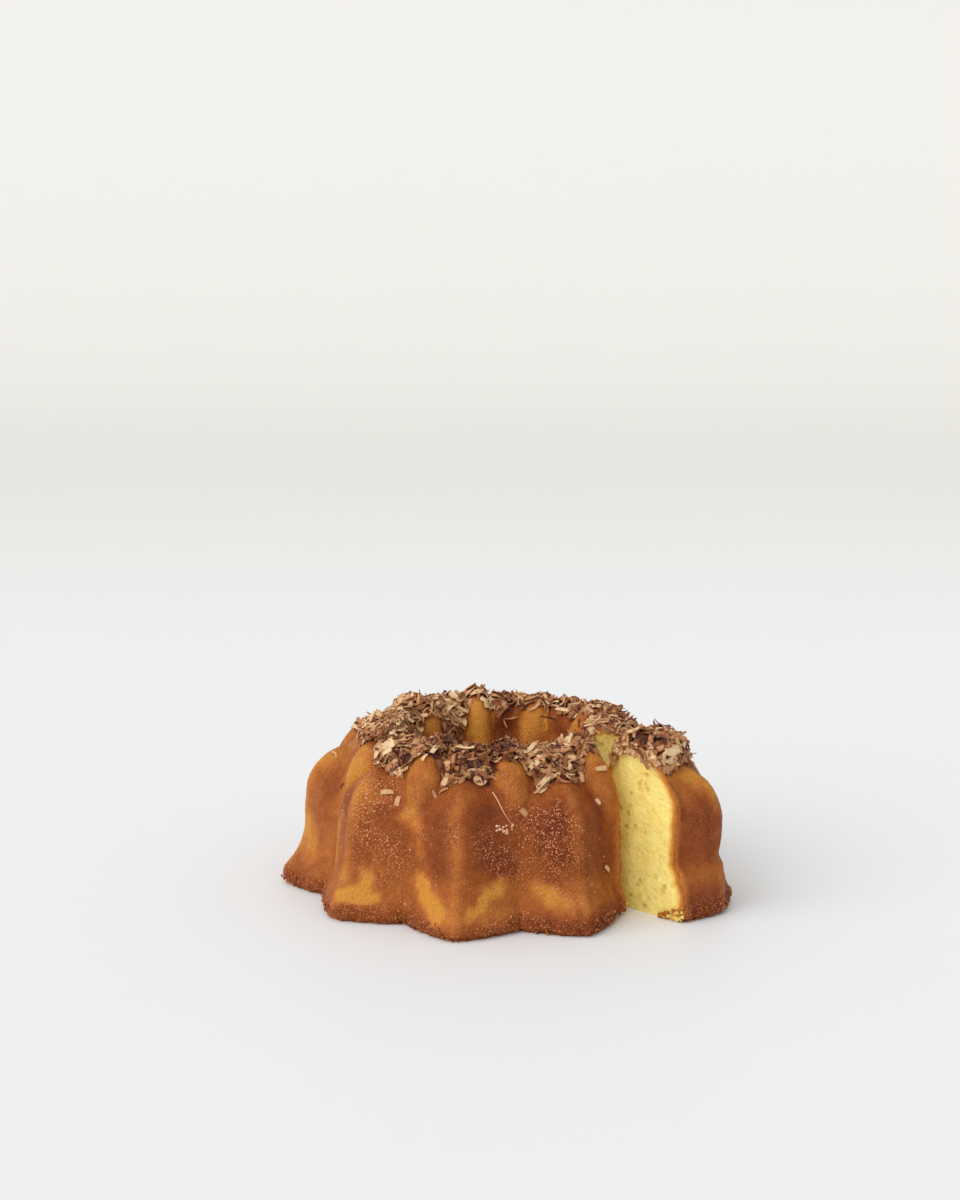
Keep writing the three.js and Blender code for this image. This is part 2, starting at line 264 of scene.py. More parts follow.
def tongue_rise(height, from_tongue, valley, outside, share):
    """How far a tongue stands out, over the crest and down the hole."""
    depth = bpy.context.scene.cake_shape.tongue_depth * np.array(TONGUE_STRENGTHS)[valley] * share
    tip = np.array(TONGUE_TIPS)[valley]
    taper = smooth(height, tip, CREST_HEIGHT) ** 0.6
    inner_width = mix(INNER_WIDTH, OUTER_WIDTH, smooth(height, INNER_FULL, CREST_HEIGHT))
    width = np.where(outside, np.maximum(OUTER_WIDTH * taper, 1e-6), inner_width)
    inner_growth = mix(0.25, 1, smooth(height, 0, INNER_FULL))
    growth = np.where(outside, smooth(height, tip, TONGUE_FULL), inner_growth)
    return depth * growth * np.clip(1 - np.minimum(from_tongue / width, 1) ** 2.3, 0, 1)


def relief(lobe, along, fullness):
    """Heights above the valley surface of keels, of tongues and of the matted coconut."""
    height = section.point(along)[1]
    outside = np.asarray(along) < CREST_ALONG
    off_valley = lobe - np.round(lobe)
    strength = np.array(LOBE_STRENGTHS)[np.floor(lobe).astype(int) % LOBES]
    valley = np.round(lobe).astype(int) % LOBES
    lean = tongue_lean(height, off_valley, valley, fullness)
    from_tongue = 2 * np.abs(off_valley - lean)
    keel = np.where(outside, keel_rise(height, off_valley, strength, fullness), 0)
    share = np.where(off_valley < 0, mix(1, SLICE_FAR_TONGUE, fullness), 1)
    tongue = tongue_rise(height, from_tongue, valley, outside, share)
    starts, full, thins, ends = HEAP_BAND
    later = np.maximum(np.array(LOBE_COVER)[np.floor(lobe).astype(int) % LOBES] - 0.44, 0)
    band = smooth(along, starts + later, full + later) * (1 - smooth(along, thins, ends))
    depth = mix(bpy.context.scene.cake_topping.heap_depth / MM, SLICE_HEAP, fullness)
    heap = depth * band * smooth(from_tongue, 0.15, 0.6)
    return keel, tongue, heap


def crust(lobe, along, fullness=0.0):
    """Points of the crust in millimetres from the ring's axis."""
    lobe, along = np.broadcast_arrays(np.asarray(lobe, float), np.asarray(along, float))
    core, height = section.point(along)
    run, climb = section.slope(along)
    keel, tongue, heap = relief(lobe, along, fullness)
    angle = np.radians(lobe_to_angle(lobe))
    outside = along < CREST_ALONG
    full = slice_rise(height, lobe - np.round(lobe), fullness)
    full = np.where(outside, full - worn_foot(height, lobe, fullness), 0)
    swell = 0.5 * np.sin(3 * angle + height / 9) * smooth(height, 0, 12)
    rise = soft_max(soft_max(keel, tongue, 2.2) + full, heap, 1.0) - 0.6 + swell
    lean = np.where(outside, smooth(height, 50, 76), 1)
    radius = core + rise * (1 - lean + lean * climb)
    z = height - rise * lean * run
    return np.stack([radius * np.sin(angle), -radius * np.cos(angle), z], -1)


def surface_frames(lobe, along, fullness=0.0):
    """Place, sideways, uphill and outward directions of the crust at each (lobe, along)."""
    here = crust(lobe, along, fullness)
    sideways = crust(lobe + 0.01, along, fullness) - here
    above = np.minimum(along + 0.002, 1)
    below = np.maximum(along - 0.002, 0)
    uphill = crust(lobe, above, fullness) - crust(lobe, below, fullness)
    sideways /= np.linalg.norm(sideways, axis=-1, keepdims=True)
    outward = np.cross(sideways, uphill)
    outward /= np.linalg.norm(outward, axis=-1, keepdims=True)
    return here, sideways, np.cross(outward, sideways), outward


# Meshes

def clear_selection():
    if bpy.context.object and bpy.context.object.mode != "OBJECT":
        bpy.ops.object.mode_set(mode="OBJECT")
    bpy.ops.object.select_all(action="DESELECT")


def select_only(piece):
    clear_selection()
    piece.select_set(True)
    bpy.context.view_layer.objects.active = piece


def coordinates(piece):
    flat = np.empty(len(piece.data.vertices) * 3, np.float32)
    piece.data.vertices.foreach_get("co", flat)
    return flat.reshape(-1, 3).astype(float)


def move_vertices(piece, places):
    piece.data.vertices.foreach_set("co", np.asarray(places, np.float32).ravel())
    piece.data.update()


def set_values(piece, name, values):
    """Stores one number for each vertex, for the materials to read."""
    attribute = piece.data.attributes.new(name, "FLOAT", "POINT")
    attribute.data.foreach_set("value", np.asarray(values, np.float32).ravel())


def mesh_piece(name, vertices, faces):
    mesh = bpy.data.meshes.new(name)
    mesh.from_pydata(vertices, [], faces)
    piece = bpy.data.objects.new(name, mesh)
    bpy.context.scene.collection.objects.link(piece)
    return piece


def smooth_edges(piece, degrees=40):
    select_only(piece)
    bpy.ops.object.shade_smooth_by_angle(angle=math.radians(degrees))


def spun_shell(name, rows, first_angle, last_angle, steps):
    """A plain ring of the section, spun round the axis between two angles.

    rows are the shares of length of its corners. The flat base closes the section. The spin
    adds one line of corners for each step, in order, and turns the other way for an angle
    above zero.
    """
    base_rows = bpy.context.scene.cake_shape.base_rows
    radius, height = section.point(np.array(rows))
    inner_to_outer = np.linspace(radius[-1], radius[0], base_rows + 1)[1:-1]
    radius = np.concatenate([radius, inner_to_outer])
    height = np.concatenate([height, np.zeros(base_rows - 1)])
    start = math.radians(first_angle)
    corners = [(r * math.sin(start), -r * math.cos(start), z) for r, z in zip(radius, height)]
    count = len(corners)
    mesh = bpy.data.meshes.new(name)
    mesh.from_pydata(corners, [(i, (i + 1) % count) for i in range(count)], [])
    shell = bpy.data.objects.new(name, mesh)
    bpy.context.scene.collection.objects.link(shell)
    select_only(shell)
    bpy.ops.object.mode_set(mode="EDIT")
    bpy.ops.mesh.select_all(action="SELECT")
    sweep = math.radians(first_angle - last_angle)
    bpy.ops.mesh.spin(steps=steps, angle=sweep, center=(0, 0, 0), axis=(0, 0, 1))
    bpy.ops.object.mode_set(mode="OBJECT")
    return shell


# The cake's body

def foot_and_skin_relief(points, outward, height, seed):
    """Fine unevenness of the baked skin: broad dents, small lumps and a ragged foot."""
    broad = 0.35 * value_noise(points, 19, seed, 2)
    lumps = 0.16 * value_noise(points, 3.6, seed + 3, 2)
    ragged = 0.9 * value_noise(points * (1, 1, 0.5), 7, seed + 5, 2)
    rough = 0.4 * value_noise(points, 2.4, seed + 6, 2)
    at_foot = 1 - smooth(height, 4, 14)
    lift = broad * smooth(height, 1, 10) + lumps + (1.3 * ragged + 1.5 * rough - 0.3) * at_foot
    grown = points + outward * lift[..., None]
    grown[..., 2] = np.maximum(grown[..., 2], 0)
    return grown


def body_grid(rows, angles, fullness, seed):
    """Points of the whole skin: one line of corners for each angle, base corners last."""
    shape = bpy.context.scene.cake_shape
    lobes = angle_to_lobe(angles)[:, None]
    here, _, _, outward = surface_frames(lobes, rows[None, :], fullness)
    height = here[..., 2]
    skin = foot_and_skin_relief(here, outward, height, seed)
    skin[:, 0, 2] = 0
    skin[:, -1, 2] = 0
    share = np.linspace(0, 1, shape.base_rows + 1)[1:-1][None, :, None]
    base = mix(skin[:, -1:, :], skin[:, :1, :], share)
    return np.concatenate([skin, base], axis=1)


# Paler and darker places of the crust; some of them are painted highlights and painted shade, as said beside them.
# Each mark is a streak between two places (lobe, level) with a half width in millimetres and a strength. The level is
# the height on the outer wall, and 200 less the height inside the hole.
TONE_MARKS = (
    ((8.57, 13.5), (8.76, 13.5), 3.5, -0.52),
    ((8.66, 15), (8.69, 24), 3.2, -0.5),
    ((9.17, 24), (9.37, 11), 4.4, -0.56),
    # These two streaks paint highlights at the foot of the tongue over valley 9.
    ((8.99, 57), (9.07, 52), 5.0, -0.55),
    ((9.13, 46), (9.15, 38), 2.6, -0.22),
    ((8.36, 71), (8.62, 62), 6.5, -0.22),
    ((8.72, 60), (8.80, 34), 12.0, -0.07),
    ((9.35, 9), (9.85, 9), 5.0, -0.1),
    ((9.63, 14), (9.84, 25), 3.2, -0.46),
    ((0.17, 20.5), (0.35, 16), 4.0, -0.36),
    ((9.04, 70), (9.07, 52), 6.0, 0.14),
    ((0.00, 72), (0.02, 56), 6.0, 0.12),
    ((8.93, 48), (8.98, 26), 5.0, 0.06),
    ((7.35, 16), (7.62, 14), 8.0, 0.12),
    ((8.30, 56), (8.36, 30), 6.0, 0.08),
    ((0.20, 8), (0.50, 8), 7.0, 0.12),
    # Painted highlight on the inner ridge over valley 5.
    ((5.00, 122), (5.00, 150), 8.0, -0.5),
    ((1.40, 74), (1.62, 62), 9.0, -0.30),
    ((1.66, 26), (1.72, 18), 3.6, -0.3),
    ((8.05, 74), (8.24, 34), 10.0, -0.24),
    ((8.30, 50), (8.16, 24), 4.0, -0.14),
    ((7.60, 34), (7.74, 18), 5.0, -0.18),
    ((0.45, 6), (0.80, 8), 6.0, 0.16),
    ((1.15, 10), (1.80, 8), 9.0, 0.26),
    ((7.48, 68), (7.54, 30), 17.0, -0.26),
    # These two streaks paint shade in the hollows inside the hole on each side of that ridge.
    ((4.50, 122), (4.52, 142), 8.0, 0.34),
    ((5.50, 124), (5.50, 142), 6.0, 0.16),
    ((3.48, 126), (3.50, 142), 6.0, 0.16),
    ((1.22, 72), (1.25, 62), 4.5, -0.25),
    ((2.30, 22), (2.52, 15), 4.0, -0.5),
    ((3.22, 14), (3.36, 24), 3.5, -0.55),
    ((4.60, 16), (4.80, 22), 4.0, -0.5),
    ((5.25, 24), (5.38, 13), 3.6, -0.55),
    ((6.62, 14), (6.80, 15), 4.2, -0.55),
    ((7.20, 20), (7.40, 14), 3.8, -0.5),
    # Painted shade on the right-hand face of the lobe between valleys 9 and 0.
    ((9.70, 60), (9.76, 36), 9.0, 0.17),
    ((9.32, 52), (9.34, 34), 5.0, 0.10),
    ((0.32, 56), (0.38, 34), 9.0, 0.14),
    # Painted shade on the right-hand face of the lobe between valleys 0 and 1.
    ((0.80, 58), (0.84, 24), 6.0, 0.12),
    ((1.50, 56), (1.56, 34), 10.0, 0.16),
    ((2.66, 58), (2.70, 34), 8.0, 0.14),
    ((5.62, 58), (5.66, 36), 9.0, 0.14),
)

# Where sugary grain and painted glints show most
GRIT_AND_GLINT_MARKS = (
    ((8.62, 64), (8.80, 33), 12.0, 0.9),
    ((8.24, 78), (8.40, 70), 4.5, 0.7),
    ((9.00, 57), (9.14, 49), 4.5, 0.7),
    ((9.44, 66), (9.48, 36), 4.0, 0.6),
    ((9.74, 46), (9.88, 34), 7.0, 0.7),
    ((0.06, 56), (0.10, 30), 9.0, 0.6),
    ((0.34, 60), (0.42, 27), 11.0, 0.9),
    ((1.22, 62), (1.34, 36), 9.0, 0.14),
    ((9.02, 76), (9.08, 62), 4.0, 0.35),
    ((9.90, 78), (9.97, 62), 5.0, 0.4),
    ((5.00, 118), (5.00, 140), 5.0, 0.35),
    ((4.00, 120), (4.00, 140), 5.0, 0.3),
    ((2.40, 56), (2.55, 28), 12.0, 0.6),
    ((3.60, 56), (3.50, 28), 12.0, 0.7),
    ((4.40, 56), (4.50, 28), 12.0, 0.6),
    ((5.60, 56), (5.50, 28), 12.0, 0.7),
    ((6.40, 56), (6.50, 28), 12.0, 0.6),
)


# How far the coconut reaches over each tongue into the hole and down each lobe, as shares of
# the section, and how much paler or darker it is over each lobe
TONGUE_COVER = (0.56, 0.56, 0.56, 0.545, 0.54, 0.535, 0.56, 0.60, 0.57, 0.56)
LOBE_COVER = (0.408, 0.435, 0.425, 0.43, 0.435, 0.45, 0.503, 0.482, 0.428, 0.415)
INSIDE_COVER = (0.645, 0.645, 0.63, 0.55, 0.555, 0.61, 0.645, 0.645, 0.645, 0.645)
LOBE_TOAST = (0.05, 0.0, 0.02, 0.02, 0.0, 0.08, 0.20, 0.16, 0.05, -0.20)


# Paler and darker heaps of coconut, as marks, where the level is 200 times the share of the
# section
COCONUT_MARKS = (
    ((8.42, 95), (8.52, 94), 3.0, 0.5),
    ((8.66, 90.5), (8.76, 90), 3.0, -0.5),
    ((9.25, 84), (9.50, 88), 5.0, 0.14),
    ((1.30, 101), (1.33, 96), 4.0, -0.45),
    ((1.28, 91), (1.40, 90), 3.5, 0.35),
    ((4.80, 108), (4.93, 107), 3.5, 0.5),
    ((4.45, 108), (4.60, 107), 4.0, -0.3),
    ((2.45, 102), (2.55, 102), 3.5, -0.4),
)


def coconut_cover(lobe, along, fullness, jag=0.0):
    """How surely coconut lies at each place from 0 to 1, and how far in a dip the place is."""
    keel = np.floor(lobe).astype(int) % LOBES
    valley = np.round(lobe).astype(int) % LOBES
    lean = (1 - fullness) * np.array(TOP_LEANS)[valley]
    inner = 0.2 * smooth(along, CREST_ALONG - 0.01, 0.56)
    dip = smooth(2 * np.abs(lobe - np.round(lobe) - lean), 0.15 + inner, 0.62 + inner)
    outer_edge = mix(0.468 - 0.028 * fullness, np.array(LOBE_COVER)[keel], dip) + jag
    inner_edge = mix(np.array(TONGUE_COVER)[valley], np.array(INSIDE_COVER)[keel], dip) + jag
    outside = smooth(along, outer_edge - 0.014, outer_edge + 0.014)
    return outside * smooth(along, inner_edge + 0.02, inner_edge - 0.02), dip


def marks(table, lobe, level):
    """The summed strength of all marks in a table, each soft at its edge."""
    total = np.zeros(np.shape(level))
    for (lobe_a, low), (lobe_b, high), wide, strength in table:
        sideways = ((lobe - lobe_a + LOBES / 2) % LOBES - LOBES / 2) * MM_PER_LOBE
        across, rise = (lobe_b - lobe_a) * MM_PER_LOBE, high - low
        share = (sideways * across + (level - low) * rise) / (across**2 + rise**2)
        share = np.clip(share, 0, 1)
        gap = np.hypot(sideways - share * across, level - low - share * rise)
        total += strength * (1 - smooth(gap, 0.15 * wide, 1.7 * wide))
    return total


def browning_and_painted_light(lobes, rows, points, fullness):
    """How dark the skin is, from its baking and from painted highlights and painted shade, and how much sugary grit
    and painted glint it shows, by place and with uneven patches.
    """
    height = points[..., 2]
    lobe, along = np.broadcast_arrays(lobes, rows)
    from_valley = 2 * np.abs(lobe - np.round(lobe))
    keel, tongue, _ = relief(lobe, along, fullness)
    on_tongue = smooth(tongue - keel, 0.2, 2.5)
    face = smooth(from_valley, 0.08, 0.4) * (1 - smooth(from_valley, 0.7, 0.95))
    tone = 0.50 + 0.12 * face * smooth(height, 24, 42) * (1 - smooth(height, 58, 74))
    # Keels are paler: a painted highlight along each keel.
    tone = tone - 0.17 * smooth(from_valley, 0.84, 0.98) * (1 - smooth(height, 66, 74))
    # Tongues are paler, and more so inside the hole, where the extra paleness is a painted highlight on the inner
    # ridges.
    tone = tone - mix(0.34, 0.22, along < CREST_ALONG) * on_tongue * smooth(height, 46, 70)
    tone = tone - 0.08 * smooth(height, 30, 22) * smooth(height, 8, 14)
    tone = tone + 0.12 * (1 - smooth(height, 5, 11))
    tone = tone + 0.10 * value_noise(points, 20, 9, 2) + 0.10 * value_noise(points, 6, 4, 3)
    off = 2.4 * value_noise(points, 8, 8, 3) / MM_PER_LOBE
    level = np.where(along < CREST_ALONG, height, 200 - height) + 2.4 * value_noise(points, 7, 7, 3)
    tone = tone + marks(TONE_MARKS, lobe + off, level)
    # Painted shade: the crust under the coconut is made nearly the darkest tone.
    shade_under_coconut = coconut_cover(lobe, along, fullness)[0]
    grit_and_glint = 0.14 + marks(GRIT_AND_GLINT_MARKS, lobe, level) + 0.6 * (1 - smooth(height, 6, 16))
    return mix(np.clip(tone, 0, 1), 0.95, 0.9 * shade_under_coconut), np.clip(grit_and_glint, 0, 1)


def crumb_relief(points, seed):
    """Depth of the torn crumb of a cut face, in millimetres, negative into the cake."""
    flat = points.reshape(-1, 3)
    pits = np.empty(len(flat))
    for i, place in enumerate(flat / 3.4 + seed):
        nearest, _ = noise.voronoi(Vector(place))
        pits[i] = max(0.0, 1 - nearest[0] / 0.42)
    pits = pits.reshape(points.shape[:-1])
    torn = 0.55 * value_noise(points, 9, seed, 2) + 0.3 * value_noise(points, 5, seed, 1)
    return torn - 0.4 * pits


def cut_face(name, outline, rows, outward, seed):
    """The crumb side of a cut: a grid between the outer wall and the hole, crest at its top."""
    shape = bpy.context.scene.cake_shape
    columns = shape.base_rows
    half = (rows + 1) // 2
    outer = outline[:half]
    inner = outline[half - 1:rows][::-1]
    share = np.linspace(0, 1, columns + 1)[None, :, None]
    places = mix(outer[:, None, :], inner[:, None, :], share)
    skin = outline[:rows]
    gap_shade = np.linalg.norm(places[:, :, None, :] - skin[None, None, :, :], axis=-1)
    rim = gap_shade.min(-1)
    rim[:, [0, -1]] = 0
    edge = np.minimum(rim, places[..., 2])
    sunk = crumb_relief(places, seed) * smooth(edge, 0, 2.2)
    sunk[-1] = 0
    places = places + outward * sunk[..., None]
    bpy.ops.mesh.primitive_grid_add(x_subdivisions=columns, y_subdivisions=half - 1, size=1)
    face = bpy.context.object
    face.name = name
    grid = coordinates(face)
    column = np.round((grid[:, 0] + 0.5) * columns).astype(int)
    row = np.round((grid[:, 1] + 0.5) * (half - 1)).astype(int)
    move_vertices(face, places[row, column] * MM)
    set_values(face, "rim", rim[row, column])
    set_values(face, "bake_and_painted_light", np.full(len(grid), 0.6))
    set_values(face, "grit_and_glint", np.zeros(len(grid)))
    face.data.materials.append(bpy.data.materials["baked crust"])
    face.data.materials.append(bpy.data.materials["yellow crumb"])
    face.data.polygons.foreach_set("material_index", np.ones(len(face.data.polygons), np.int32))
    return face


def baked_body(name, first_angle, last_angle, rows_each_side, steps, fullness, seed):
    """A closed piece of the ring between two cuts, with crust outside and crumb on the cuts."""
    top = section.shares[np.argmax(section.places[:, 1])]
    climbing = np.linspace(0, top, rows_each_side)
    falling = np.linspace(top, 1, rows_each_side)[1:]
    rows = np.concatenate([climbing, falling])
    angles = np.linspace(first_angle, last_angle, steps + 1)
    shell = spun_shell(name, rows, first_angle, last_angle, steps)
    grid = body_grid(rows, angles, fullness, seed)
    move_vertices(shell, grid * MM)
    tone = np.full(grid.shape[:2], 0.62)
    grit_and_glint = np.full(grid.shape[:2], 0.2)
    skin = len(rows)
    lobes = angle_to_lobe(angles)[:, None]
    on_skin = browning_and_painted_light(lobes, rows[None, :], grid[:, :skin], fullness)
    tone[:, :skin], grit_and_glint[:, :skin] = on_skin
    from_cut = np.minimum(angles - first_angle, last_angle - angles) * math.radians(90)
    tone *= mix(0.42, 1, smooth(from_cut, 0.3, 4.2))[:, None]
    # The stored tone holds the browning together with its painted highlights and painted shade.
    set_values(shell, "bake_and_painted_light", tone)
    set_values(shell, "grit_and_glint", grit_and_glint)
    set_values(shell, "rim", np.zeros(tone.size))
    shell.data.materials.append(bpy.data.materials["baked crust"])
    shell.data.materials.append(bpy.data.materials["yellow crumb"])

    ends = []
    for index, side, angle in ((0, -1, first_angle), (-1, 1, last_angle)):
        turn = math.radians(angle)
        outward = side * np.array([math.cos(turn), math.sin(turn), 0])
        ends.append(cut_face(f"{name}_cut", grid[index], skin, outward, seed + index + 2))
    clear_selection()
    for part in (*ends, shell):
        part.select_set(True)
    bpy.context.view_layer.objects.active = shell
    bpy.ops.object.join()
    bpy.ops.object.mode_set(mode="EDIT")
    bpy.ops.mesh.select_all(action="SELECT")
    bpy.ops.mesh.remove_doubles(threshold=0.00002)
    bpy.ops.mesh.normals_make_consistent(inside=False)
    bpy.ops.object.mode_set(mode="OBJECT")
    smooth_edges(shell)
    return shell


def set_down(piece, shift, node):
    """Moves a finished mesh to its place in the cake, hangs it under the cake's body and hides the part that it
    replaces.
    """
    move_vertices(piece, coordinates(piece) + ring_axis() + np.asarray(shift) * MM)
    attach(piece, BODY)
    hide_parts(node)
    return piece


def lay_on(piece, shift):
    """Moves a small finished mesh to its place in the cake, which keeps its own nodes."""
    move_vertices(piece, coordinates(piece) + ring_axis() + np.asarray(shift) * MM)
    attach(piece, BODY)
    return piece


# Coconut

def strip_template(along, across):
    """Corner places (from -1 to 1 along, across and through) and faces of one thin strip."""
    bpy.ops.mesh.primitive_grid_add(x_subdivisions=along, y_subdivisions=across, size=2)
    strip = bpy.context.object
    thickness = strip.modifiers.new("thickness", "SOLIDIFY")
    thickness.thickness = 2
    thickness.offset = 0
    bpy.ops.object.modifier_apply(modifier=thickness.name)
    places = coordinates(strip)
    faces = np.array([tuple(face.vertices) for face in strip.data.polygons])
    bpy.data.objects.remove(strip)
    return places, faces


def bent_strips(template, sizes, bends, rng):
    """Every strip's corners lying along X: each has its own size, curl, bow, twist and taper."""
    length, width, thickness = (sizes[:, i:i + 1] for i in range(3))
    curl, twist, cup, bow, narrowing = (bends[:, i:i + 1] for i in range(5))
    curl = np.where(np.abs(curl) < 0.05, 0.05, curl)
    s, w, side = (template[None, :, i] for i in range(3))
    taper = 1 - narrowing * np.abs(s) ** 3
    across = w * width / 2 * taper
    through = side * thickness / 2 + cup * (w**2 - 0.5) * width
    turn = curl * (s + rng.uniform(-0.12, 0.12, length.shape) * w)
    x = length / curl / 2 * np.sin(turn)
    z = length / curl / 2 * (1 - np.cos(turn))
    spin = twist * s
    y = across * np.cos(spin) - through * np.sin(spin) + bow * length * (s**2 - 0.4)
    lift = across * np.sin(spin) + through * np.cos(spin)
    return np.stack([x - lift * np.sin(turn), y, z + lift * np.cos(turn)], -1)


def turn_strips(strips, rng, lay, steep):
    """Turns each strip about its own middle: any way round, and tilted by up to its steepness."""
    count = len(strips)
    yaw = rng.uniform(0, 2 * np.pi, count)
    tilt = rng.normal(0, 1, count) * lay
    tilt = np.where(rng.uniform(size=count) < steep, rng.uniform(0.6, 1.25, count), tilt)
    roll = rng.normal(0, 0.5, count)
    for angle, (a, b) in ((roll, (1, 2)), (tilt, (2, 0)), (yaw, (0, 1))):
        c, s = np.cos(angle)[:, None], np.sin(angle)[:, None]
        first, second = strips[..., a].copy(), strips[..., b].copy()
        strips[..., a] = c * first - s * second
        strips[..., b] = s * first + c * second
    return strips


def spots_on_crust(count, first_angle, last_angle, fullness, rng):
    """Places and directions for flakes: thick in the dips of the crest, thin on the tongues."""
    ragged = rng.uniform(-1, 1, 97)
    tries = 12 * count
    lobes = rng.uniform(*angle_to_lobe(np.array([first_angle, last_angle], float)), tries)
    alongs = rng.uniform(0.385, 0.66, tries)
    jag = 0.012 * ragged[(lobes * 9).astype(int) % len(ragged)]
    cover, dip = coconut_cover(lobes, alongs, fullness, jag)
    kept = np.flatnonzero(rng.uniform(size=tries) < cover * mix(1.0, 0.8, dip))[:count]
    lobes, alongs, dip = lobes[kept], alongs[kept], dip[kept]
    depth = mix(1.8, 2.4, dip) * (1 - np.minimum(1, np.abs(alongs - 0.51) / 0.16)) + 0.5
    lifts = 0.25 + depth * rng.uniform(size=len(kept))
    here, sideways, uphill, outward = surface_frames(lobes, alongs, fullness)
    toast_and_shade = np.array(LOBE_TOAST)[np.floor(lobes).astype(int) % LOBES]
    # Painted shade: flakes inside the hole and flakes lying low in the heap are darker.
    toast_and_shade = toast_and_shade - 0.16 * smooth(alongs, 0.53, 0.62) - 0.10 * smooth(1.6 - lifts, 0, 1.2)
    toast_and_shade = toast_and_shade + marks(COCONUT_MARKS, lobes, 200 * alongs)
    return here + outward * lifts[:, None], np.stack([sideways, uphill, outward], 1), toast_and_shade


def spots_on_cut(count, angle, side, fullness, rng):
    """Places and directions for flakes that hang over the top edge of a cut."""
    lobe = np.full(count, float(angle_to_lobe(angle)))
    along = rng.uniform(0.435, 0.575, count)
    here, _, _, outward = surface_frames(lobe, along, fullness)
    turn = math.radians(angle)
    across = side * np.array([math.cos(turn), math.sin(turn), 0])
    sunk = rng.uniform(-1.0, 3.6, count)
    here = here + across * rng.uniform(0.2, 1.1, count)[:, None] - outward * sunk[:, None]
    lean = rng.uniform(0.1, 0.9, (count, 1))
    facing = across * (1 - lean) + outward * lean
    facing /= np.linalg.norm(facing, axis=1, keepdims=True)
    sideways = np.cross(outward, facing)
    sideways /= np.linalg.norm(sideways, axis=1, keepdims=True)
    axes = np.stack([sideways, np.cross(facing, sideways), facing], 1)
    return here, axes, np.full(count, 0.08)


def placed_spots(table, fullness):
    """Places and directions of the strips in a table, each turned as it says."""
    here, sideways, uphill, outward = surface_frames(table[:, 0], table[:, 1], fullness)
    turn = np.radians(table[:, 2:3])
    level = np.cos(turn) * sideways + np.sin(turn) * uphill
    axes = np.stack([level, np.cross(outward, level), outward], 1)
    return here + outward * table[:, 6:7], axes, table[:, 5]


def coconut_piece(name, kind, spots, placed, fullness, shift, node, rng):
    """One kind of coconut on one part of the cake, as a single mesh of separate strips."""
    table = np.array(placed)
    spots = [*spots, placed_spots(table, fullness)]
    here, axes, toast_and_shade = (np.concatenate(group) for group in zip(*spots))
    total = len(here)
    strewn = total - len(table)
    template, faces = strip_template(*kind["mesh"])
    length = mix(kind["shortest"], kind["longest"], rng.uniform(size=total) ** 1.3)
    width = rng.uniform(*kind["width"], total)
    length[strewn:] = table[:, 3]
    width[strewn:] = table[:, 4]
    thickness = bpy.context.scene.cake_topping.thickness / MM
    sizes = np.stack([length, width, np.full(total, thickness)], -1)
    curl = rng.normal(0, kind["curl"], total)
    curl[strewn:] *= 0.4
    twist = rng.normal(0, kind["twist"], total)
    cup = rng.normal(0, 0.1, total)
    bow = rng.normal(0, kind["bow"], total)
    taper = rng.uniform(0.05, 0.6, total)
    taper[strewn:] *= 0.4
    flat = bent_strips(template, sizes, np.stack([curl, twist, cup, bow, taper], -1), rng)
    strips = turn_strips(flat.copy(), rng, kind["lay"], kind["steep"])
    strips[strewn:] = flat[strewn:]
    places = here[:, None, :] + np.einsum("nvi,nij->nvj", strips, axes)
    too_high = np.maximum(places[..., 2].max(1) - STREWN_TOP, 0)
    places[..., 2] -= too_high[:, None]
    corner_count = template.shape[0]
    offsets = np.arange(total)[:, None, None] * corner_count
    piece = mesh_piece(name, places.reshape(-1, 3) * MM, (faces[None] + offsets).reshape(-1, 4).tolist())
    drift = 0.10 * value_noise(here, 14, 3, 1) + toast_and_shade
    spread = np.where(np.arange(total) < strewn, kind["tone_spread"], 0.05)
    tone = np.clip(rng.normal(kind["tone"], spread) + drift, 0, 1)
    edge = np.maximum(np.abs(template[:, 1]), np.abs(template[:, 0]) ** 3)
    set_values(piece, "tone", np.repeat(tone, corner_count))
    set_values(piece, "edge", np.tile(edge, total))
    set_values(piece, "grain", (np.arange(total)[:, None] * 3.7 + template[None, :, 1] * 1.5).ravel())
    piece.data.materials.append(bpy.data.materials["toasted coconut"])
    smooth_edges(piece, 60)
    return set_down(piece, shift, node)


# No strip of coconut stands higher than this, in millimetres
STREWN_TOP = 96.4
CHIPS = {
    "mesh": (4, 2), "shortest": 3.6, "longest": 10.5, "width": (1.7, 4.3),
    "curl": 0.5, "twist": 0.25, "bow": 0.05, "lay": 0.18, "steep": 0.015,
    "tone": 0.59, "tone_spread": 0.20, "slice_part": 1.25, "over_cut": 44,
}
SHREDS = {
    "mesh": (6, 1), "shortest": 4.5, "longest": 12.5, "width": (0.7, 1.6),
    "curl": 0.7, "twist": 0.5, "bow": 0.12, "lay": 0.13, "steep": 0.01,
    "tone": 0.50, "tone_spread": 0.23, "slice_part": 0.6, "over_cut": 16,
}
